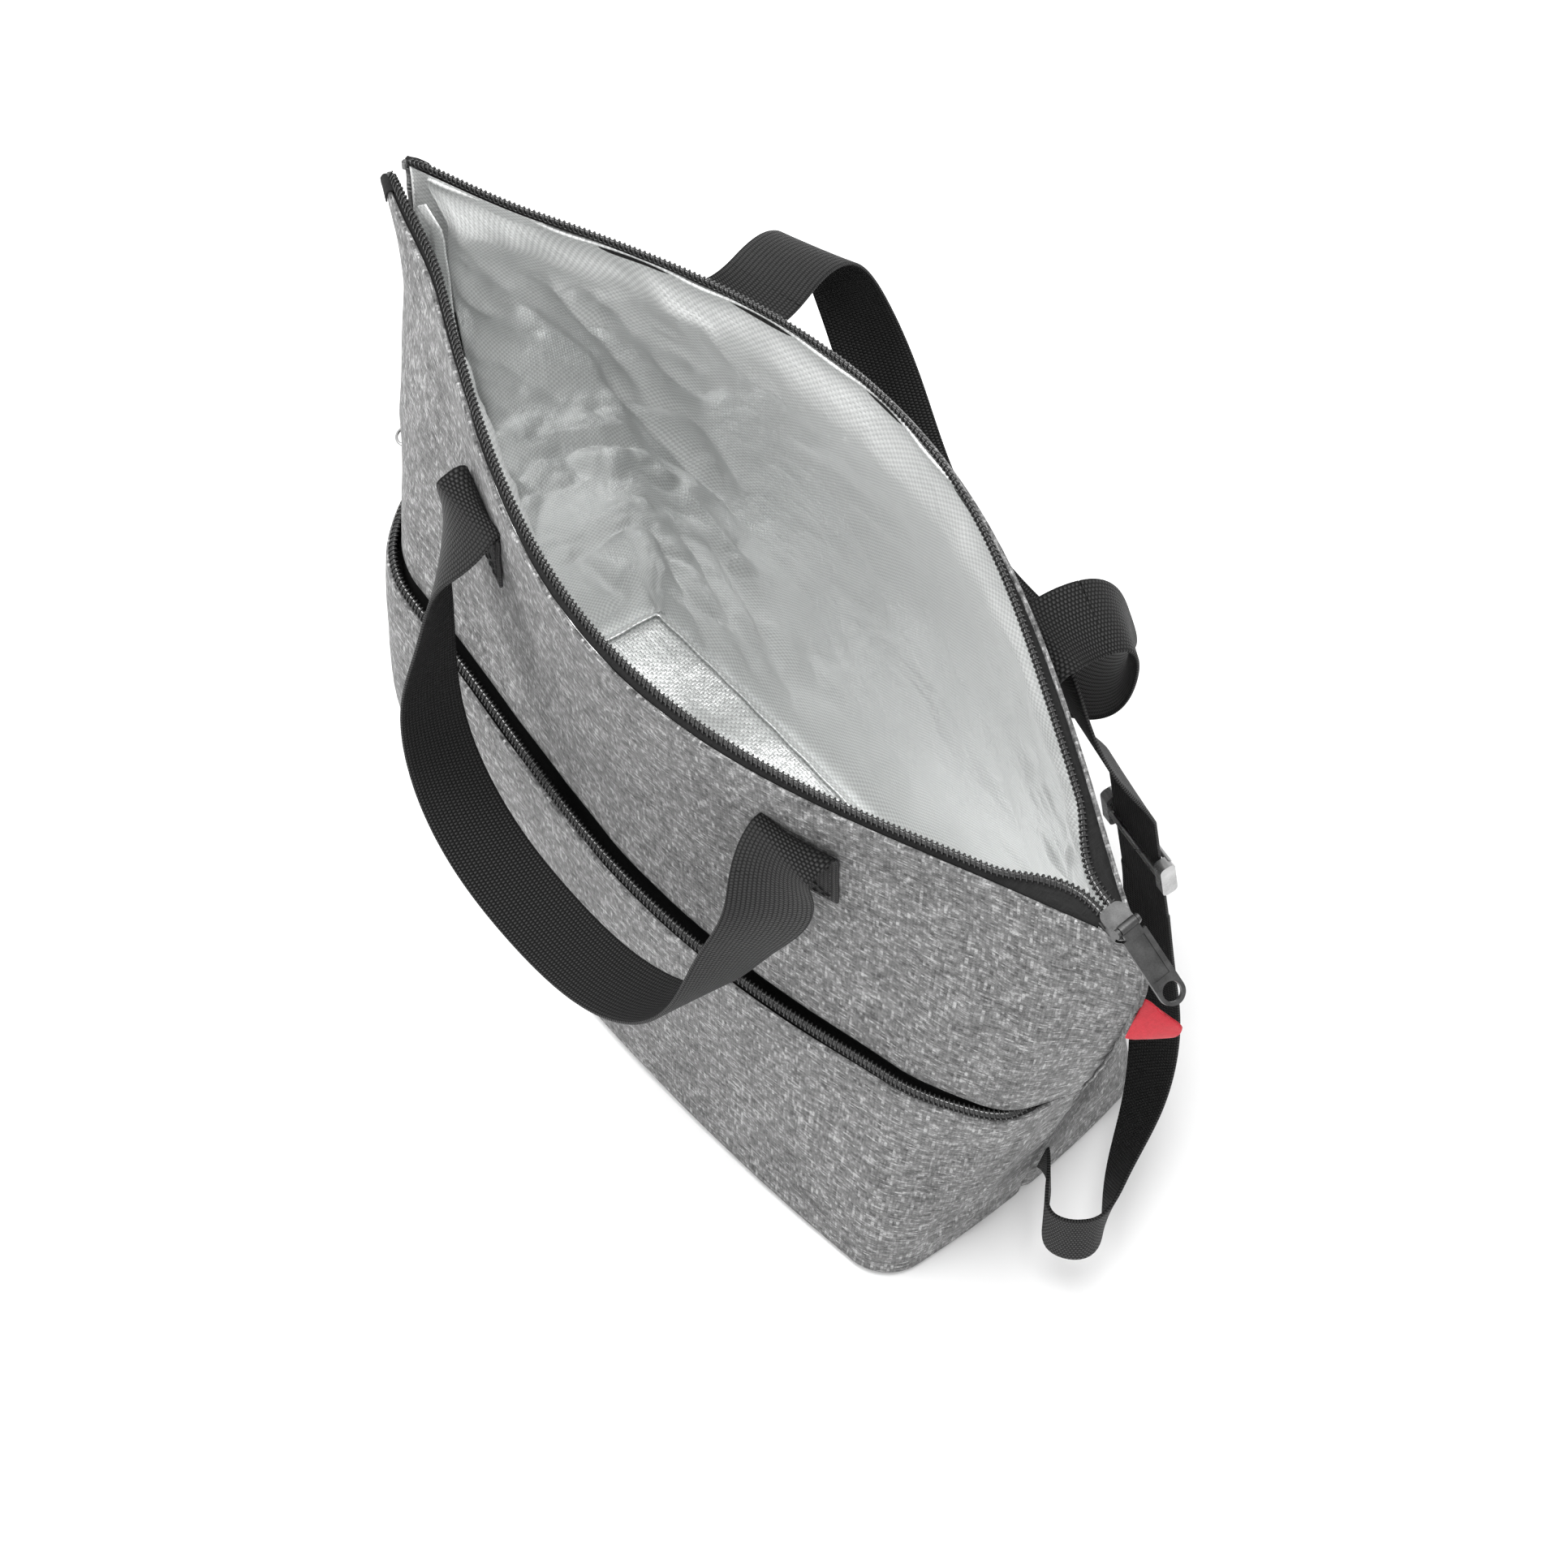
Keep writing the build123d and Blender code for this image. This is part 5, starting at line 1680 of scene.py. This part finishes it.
@dataclass
class Handle:
    """A webbing handle: two ends sewn flat to the panel, and the loop between them."""

    side: Side
    stations: tuple
    leave: tuple[float, float]
    half_spacing: float = 88.0
    fold_height: float = 335.0
    tail: float = 42.0
    hinge_out: float = 10.0
    past_hinge: int = 7
    width: float = 32.0
    seat_proud: float = 1.0
    box_half: float = 13.0
    box_low: float = 3.0
    box_high: float = 29.0

    def hinge_y(self) -> float:
        """Y of the line that it swings on."""
        u = FORM.place_at(self.side, self.half_spacing, self.fold_height)
        return float(FORM.wall(self.side, u, self.fold_height)[1]) + self.side.value * self.hinge_out

    def loop(self) -> Band:
        """The hanging loop, hinge to hinge, from left to right."""
        y, sign = self.hinge_y(), self.side.value
        points = [
            (share * self.half_spacing, y + sign * out, self.fold_height + up)
            for (share, out, up), _ in self.stations
        ]
        ways = [(wx, sign * wy, wz) for _, (wx, wy, wz) in self.stations]
        leave = np.array([0, sign * self.leave[0], self.leave[1]])
        return Band.through(points, ways, leave, -leave, 190)

    def end(self, hand: Hand) -> Band:
        """A sewn end, from its foot on the panel over the fold to the hinge line."""
        x, sign = hand.value * self.half_spacing, self.side.value
        u = FORM.place_at(self.side, x, self.fold_height)
        heights = self.fold_height - np.array([self.tail, 28.0, 14.0, 5.0])
        seats = FORM.wall(self.side, u, heights, -self.seat_proud)
        seats[:, 0] = x
        half = abs(FORM.place_at(self.side, abs(x) + self.width / 2, self.fold_height) - abs(u))
        ends = [FORM.wall(self.side, u + way * half, self.fold_height, -self.seat_proud) for way in (-1, 1)]
        level = unit(ends[1] - ends[0])
        hinge = np.array([x, self.hinge_y(), self.fold_height])
        top = seats[-1] + [0, sign * 2.2, 5.6]
        crown = hinge - [0, sign * 4.2, -1.4]
        points = np.concatenate([seats, [top, crown, hinge]])
        flat = np.array([1.0, 0, 0])
        ways = [level] * 4 + [level * 0.7 + flat * 0.3, level * 0.25 + flat * 0.75, flat]
        leave = np.array([0, sign * self.leave[0], self.leave[1]])
        return Band.through(points, np.array(ways), UP, leave, 40)

    def build(self) -> None:
        """Makes the loop and both folds, and sews the ends down."""
        word = self.side.word
        body = f"{word}_handle_body"
        loop, cut, lines = self.loop(), self.past_hinge, []
        middle = loop.cut(cut, len(loop.path) - cut)
        hanging = middle.mesh(f"{word}_handle_loop", (False, False))
        place(dress(hanging, WEBBING, Slot.WEBBING), body, f"{word}_handle")
        for hand in Hand:
            end = self.end(hand)
            part = loop.cut(0, cut + 1) if hand is Hand.LEFT else loop.cut(len(loop.path) - cut - 1, None)
            if hand is Hand.RIGHT:
                part = Band(part.path[::-1], -part.across[::-1])
            piece = end.joined(part).mesh(f"{word}_handle_fold_{hand.word}", (True, False))
            dress(piece, WEBBING, Slot.WEBBING)
            out = -unit(np.cross(UP, end.across[0]))
            if out[1] * self.side.value < 0:
                out = -out
            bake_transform(piece)
            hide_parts(f"{word}_handle_tail_{hand.word}")
            lines += self.box(end, out)
        stitches = stitch_mesh(f"{word}_handle_stitches", lines)
        place(dress(stitches, THREAD, Slot.WEBBING), BAG)

    def box(self, end: Band, out: np.ndarray) -> list:
        """Stitch lines of the sewn box and its cross."""
        across, face = unit(end.across[0]), end.path[0] + out * STITCH_PROUD
        up = unit(end.path[8] - end.path[0])
        half, low, high = self.box_half, self.box_low, self.box_high
        places = ((-half, low), (half, low), (half, high), (-half, high))
        return sewn_box([face + across * a + up * b for a, b in places], out)


# Stations of the right shoulder strap: (x, y, z) and its width's way.
STRAP_LOOP = (
    ((191, -18, 62), (-0.03, 0.1, 1)),
    ((202, -10, 62), (-0.1, 0.12, 0.99)),
    ((193, 14, 63), (0.27, 0.09, 0.96)),
    ((176, 43, 71), (0.62, 0.05, 0.78)),
    ((159, 63, 91), (0.84, 0.02, 0.54)),
    ((144, 72, 122), (0.95, -0.05, 0.3)),
    ((133, 77, 160), (0.98, -0.12, 0.15)),
)
STRAP_RISE = (
    ((122, 76, 232), (0.98, -0.15, 0.12)),
    ((112, 68, 262), (0.92, -0.25, 0.31)),
    ((95, 66, 292), (0.83, -0.24, 0.5)),
    ((75, 67, 312), (0.73, -0.08, 0.68)),
)


@dataclass
class Strap:
    """A shoulder strap, from the side seam round behind the bag to its sewn top end."""

    hand: Hand
    seam_height: float = 62.0
    top_x: float = 56.0
    top_height: float = 324.0
    patch: float = 26.0
    slant: float = np.radians(40)
    seat_proud: float = 1.7
    seam_out: float = 0.65
    box_half: float = 13.0
    box_ends: tuple[float, float] = (2.0, 24.0)

    def seat(self, back_along: float, deeper: float = 0.0) -> np.ndarray:
        """A point of the sewn end on the back panel, this far down from its tip."""
        x = self.top_x - self.patch + back_along * np.cos(self.slant)
        z = self.top_height + (self.patch - back_along) * np.sin(self.slant)
        u = FORM.place_at(Side.BACK, x, z)
        return FORM.wall(Side.BACK, u, z, deeper - self.seat_proud)

    def seat_ways(self) -> tuple[np.ndarray, np.ndarray, np.ndarray]:
        """Ways down along the sewn end, out of the panel and across the strap."""
        level = unit(self.seat(self.patch) - self.seat(0))
        face = unit(self.seat(0) - self.seat(0, 5))
        return level, face, -np.cross(level, face)

    def band(self) -> Band:
        """The whole strap, as it hangs on the right, or its mirror."""
        heights = (self.seam_height, self.seam_height + 1)
        shares = [z / FORM.height_middle for z in heights]
        foot = [float(FORM.outer_plan(Side.BACK, np.array(1.0), share)[0]) for share in shares]
        seam_way = unit(np.array([foot[1] - foot[0], 0, 1]))
        seam_out = np.array([seam_way[2], 0, -seam_way[0]])
        start = np.array([foot[0], 0, self.seam_height]) + seam_out * self.seam_out
        along = unit(np.subtract(STRAP_RISE[0][0], STRAP_LOOP[-1][0]))
        points = [start] + [p for p, _ in STRAP_LOOP]
        ways = [seam_way] + [w for _, w in STRAP_LOOP]
        lower = Band.through(points, ways, seam_out, along, 120)
        level, _, flat = self.seat_ways()
        sewn = [self.seat(self.patch * share) for share in (1, 0.5, 0)]
        run = np.array([STRAP_LOOP[-1][0], STRAP_RISE[0][0]], float)
        share = np.linspace(0, 1, 20)[:, None]
        across = np.tile(STRAP_RISE[0][1], (20, 1)).astype(float) * Band.width
        straight = Band(run[0] * (1 - share) + run[1] * share, across)
        points = [p for p, _ in STRAP_RISE] + sewn
        ways = [w for _, w in STRAP_RISE] + [flat] * 3
        upper = Band.through(points, ways, along, -level, 90)
        lower.across[-1] = straight.across[0]
        whole = lower.joined(straight).joined(upper)
        return Band(whole.path * self.mirror(), whole.across * self.mirror())

    def mirror(self) -> np.ndarray:
        """What turns a point on the right into one on this strap's side."""
        return np.array([self.hand.value, 1, 1])

    def build(self) -> None:
        """Makes the strap and sews down its top end."""
        word = self.hand.word
        band = self.band()
        piece = band.mesh(f"{word}_shoulder_strap")
        place(dress(piece, WEBBING, Slot.WEBBING), BAG, f"{word}_strap")
        level, face, flat = self.seat_ways()
        centre = self.seat(0) + face * STITCH_PROUD
        half, (near, far) = self.box_half, self.box_ends
        places = ((near, -half), (far, -half), (far, half), (near, half))
        corners = [(centre + level * a + flat * b) * self.mirror() for a, b in places]
        lines = sewn_box(corners, face * self.mirror())
        place(dress(stitch_mesh(f"{word}_strap_stitches", lines), THREAD, Slot.WEBBING), BAG)


# ---- tag and metal ------------------------------------------------------------------


@dataclass
class SideTag:
    """A folded ribbon tag in the right seam, plain, shaped like a leaf."""

    seam_height: float = 291.0
    length: float = 17.3
    height: float = 24.0
    out: tuple[float, float, float] = (0.8, 0.58, -0.2)
    up: tuple[float, float, float] = (0.0, 0.36, 0.93)
    thick: float = 0.5
    sewn_in: float = 0.3

    def build(self) -> None:
        """Makes the two leaves, open a little at their free edge."""
        share = np.array(self.seam_height / FORM.height_middle)
        x = FORM.outer_plan(Side.BACK, np.array(1.0), share)[0]
        start = np.array([float(x), 0, self.seam_height])
        out = unit(np.array(self.out))
        face = unit(np.cross(out, self.up))
        way = np.cross(face, out)
        v = np.linspace(-1, 1, 31)[:, None]
        w = np.linspace(0, 1, 17)[None]
        cut = np.where(v > 0, 0.62 * np.abs(v) ** 2.0, 0.5 * np.abs(v) ** 3.4)
        reach = self.length * (1 - cut) * w
        rise = v * self.height / 2 * (1 - 0.3 * w**2)
        for name, sign, nodes in (("tag_front_leaf", 1, ("side_tag",)), ("tag_back_leaf", -1, ())):
            bulge = (0.35 + 1.0 * np.sin(np.pi * w * 0.9) * (1 - v**2)) * sign
            curl = 1.8 * w**2 * np.clip(v, 0, 1) - 1.2 * w**2
            grid = start + out * (reach[..., None] - self.sewn_in) + way * rise[..., None]
            grid = grid + face * (bulge + curl)[..., None]
            uv = flat_places(reach, rise)
            if sign < 0:
                grid, uv = turned_over(grid, uv)
            piece = sheet_mesh(name, grid, uv, self.thick)
            place(dress(piece, RED, Slot.TAG), BAG, *nodes)


@dataclass
class Fittings:
    """Sliders, pullers and adjusters: the frame's own metal parts, eased and finished."""

    ease: float = 0.28
    sharpest: float = np.radians(40)

    def build(self) -> None:
        """Softens the edges of each metal node but the pocket puller, and sets each one's finish."""
        parts = (
            ("main_slider", GUNMETAL, Slot.DARK_METAL),
            ("main_puller", GUNMETAL, Slot.DARK_METAL),
            ("pocket_slider", GUNMETAL, Slot.DARK_METAL),
            ("pocket_puller", BRIGHT, Slot.BRIGHT_METAL),
            ("left_adjuster", BRIGHT, Slot.BRIGHT_METAL),
            ("right_adjuster", BRIGHT, Slot.BRIGHT_METAL),
        )
        for name, finish, slot in parts:
            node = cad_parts[name]
            if name != "pocket_puller":
                bevel = node.modifiers.new("ease", "BEVEL")
                bevel.width = self.ease * MM
                bevel.segments = 2
                bevel.limit_method = "ANGLE"
                bevel.angle_limit = self.sharpest
                bevel.harden_normals = False
            node.data.materials.clear()
            node.data.materials.append(finish.material())
            log.info("%s finished", name)


# ---- floor, light, camera -----------------------------------------------------------


@dataclass(frozen=True)
class Paper(Finish):
    """White studio floor."""

    name: str = "studio_floor"

    def wire(self, graph: Graph, shader: bpy.types.Node) -> None:
        """Near white with the faintest grain."""
        cloud = self.group(graph, "Cloud", self.solid(graph), Size=0.5, Speck=0.01)
        colour = graph.ramp(cloud.outputs["Slow"], (0.3, 0.90), (0.7, 0.93))
        self.paint(graph, shader, colour)
        shader.inputs["Roughness"].default_value = 0.35
        shader.inputs["Specular IOR Level"].default_value = 0.3


@dataclass
class Studio:
    """Floor, lights and camera."""

    position: tuple[float, float, float] = (0.73014, -0.58765, 2.31779)
    right: tuple[float, float, float] = (0.6479, 0.7616, -0.0089)
    up: tuple[float, float, float] = (-0.6974, 0.5979, 0.3953)
    forward: tuple[float, float, float] = (-0.3064, 0.2499, -0.9185)
    lens: float = 139.5
    floor_half: float = 6000.0
    floor_drop: float = 0.3
    lights: tuple = (
        ("key", (-1.0, -0.3, 2.2), (0, 0, 0.2), 0.7, 34),
        ("top", (0.25, -0.15, 2.7), (0, 0, 0.1), 0.9, 44),
        ("front", (0.6, -1.9, 1.2), (0, 0, 0.15), 1.6, 10),
    )

    def floor(self) -> None:
        """A wide plain floor."""
        corners = ((-1, -1), (1, -1), (1, 1), (-1, 1))
        points = [(x * self.floor_half, y * self.floor_half, -self.floor_drop) for x, y in corners]
        ground = make_mesh("floor", np.array(points), [[0, 1, 2, 3]], rounded=False)
        ground.data.materials.append(Paper().material())
        ground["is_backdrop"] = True

    def light(self, name: str, where: tuple, target: tuple, size: float, power: float) -> None:
        """One soft square light.

        Args:
            name: The light's name.
            where: Its place, in metres.
            target: What it faces.
            size: Its side, in metres.
            power: Its power, in watts.
        """
        data = bpy.data.lights.new(name, "AREA")
        data.size = size
        data.energy = power
        lamp = bpy.data.objects.new(name, data)
        way = np.subtract(where, target).astype(float)
        back = unit(way)
        side = unit(np.cross([0, 0.01, 1.0], back))
        matrix = np.eye(4)
        matrix[:3, 0], matrix[:3, 1], matrix[:3, 2], matrix[:3, 3] = side, np.cross(back, side), back, where
        lamp.matrix_world = Matrix(matrix.tolist())
        bpy.context.scene.collection.objects.link(lamp)

    def camera(self) -> None:
        """The camera, at the usual view of the bag."""
        data = bpy.data.cameras.new("camera")
        data.lens = self.lens
        data.sensor_width = 36.0
        data.clip_start, data.clip_end = 0.05, 50
        camera = bpy.data.objects.new("camera", data)
        matrix = np.eye(4)
        matrix[:3, 0], matrix[:3, 1] = unit(np.array(self.right)), unit(np.array(self.up))
        matrix[:3, 2], matrix[:3, 3] = -unit(np.array(self.forward)), self.position
        camera.matrix_world = Matrix(matrix.tolist())
        bpy.context.scene.collection.objects.link(camera)
        bpy.context.scene.camera = camera

    def build(self) -> None:
        """Sets the stage."""
        self.floor()
        self.camera()
        world = bpy.data.worlds.new("studio")
        world.use_nodes = True
        background = world.node_tree.nodes["Background"]
        background.inputs["Color"].default_value = (1, 1, 1, 1)
        background.inputs["Strength"].default_value = 0.85
        bpy.context.scene.world = world
        bpy.context.scene.view_settings.view_transform = "Standard"
        for settings in self.lights:
            self.light(*settings)


def write_sizes(before: tuple) -> None:
    """Logs how far the shown model's box reaches past the frame's box, at the top and at the bottom."""
    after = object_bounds()
    grown = [round(1000 * (after[1][k] - before[1][k]), 1) for k in range(3)]
    sunk = [round(1000 * (after[0][k] - before[0][k]), 1) for k in range(3)]
    log.info("box grows by %s at the top and %s at the bottom, in millimetres", grown, sunk)


def main() -> None:
    """Builds everything, in order."""
    logging.basicConfig(level=logging.INFO, format="%(message)s")
    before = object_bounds()
    weave_group()
    rib_group()
    cloud_group()
    OuterShell().build()
    Lining().build()
    Foam().build()
    MouthZip().build()
    PocketZip().build()
    Handle(Side.FRONT, FRONT_STATIONS, (0.5, -0.87)).build()
    Handle(Side.BACK, BACK_STATIONS, (0.97, -0.25)).build()
    for hand in Hand:
        Strap(hand).build()
    SideTag().build()
    Fittings().build()
    Studio().build()
    write_sizes(before)


if __name__ == "__main__":
    main()
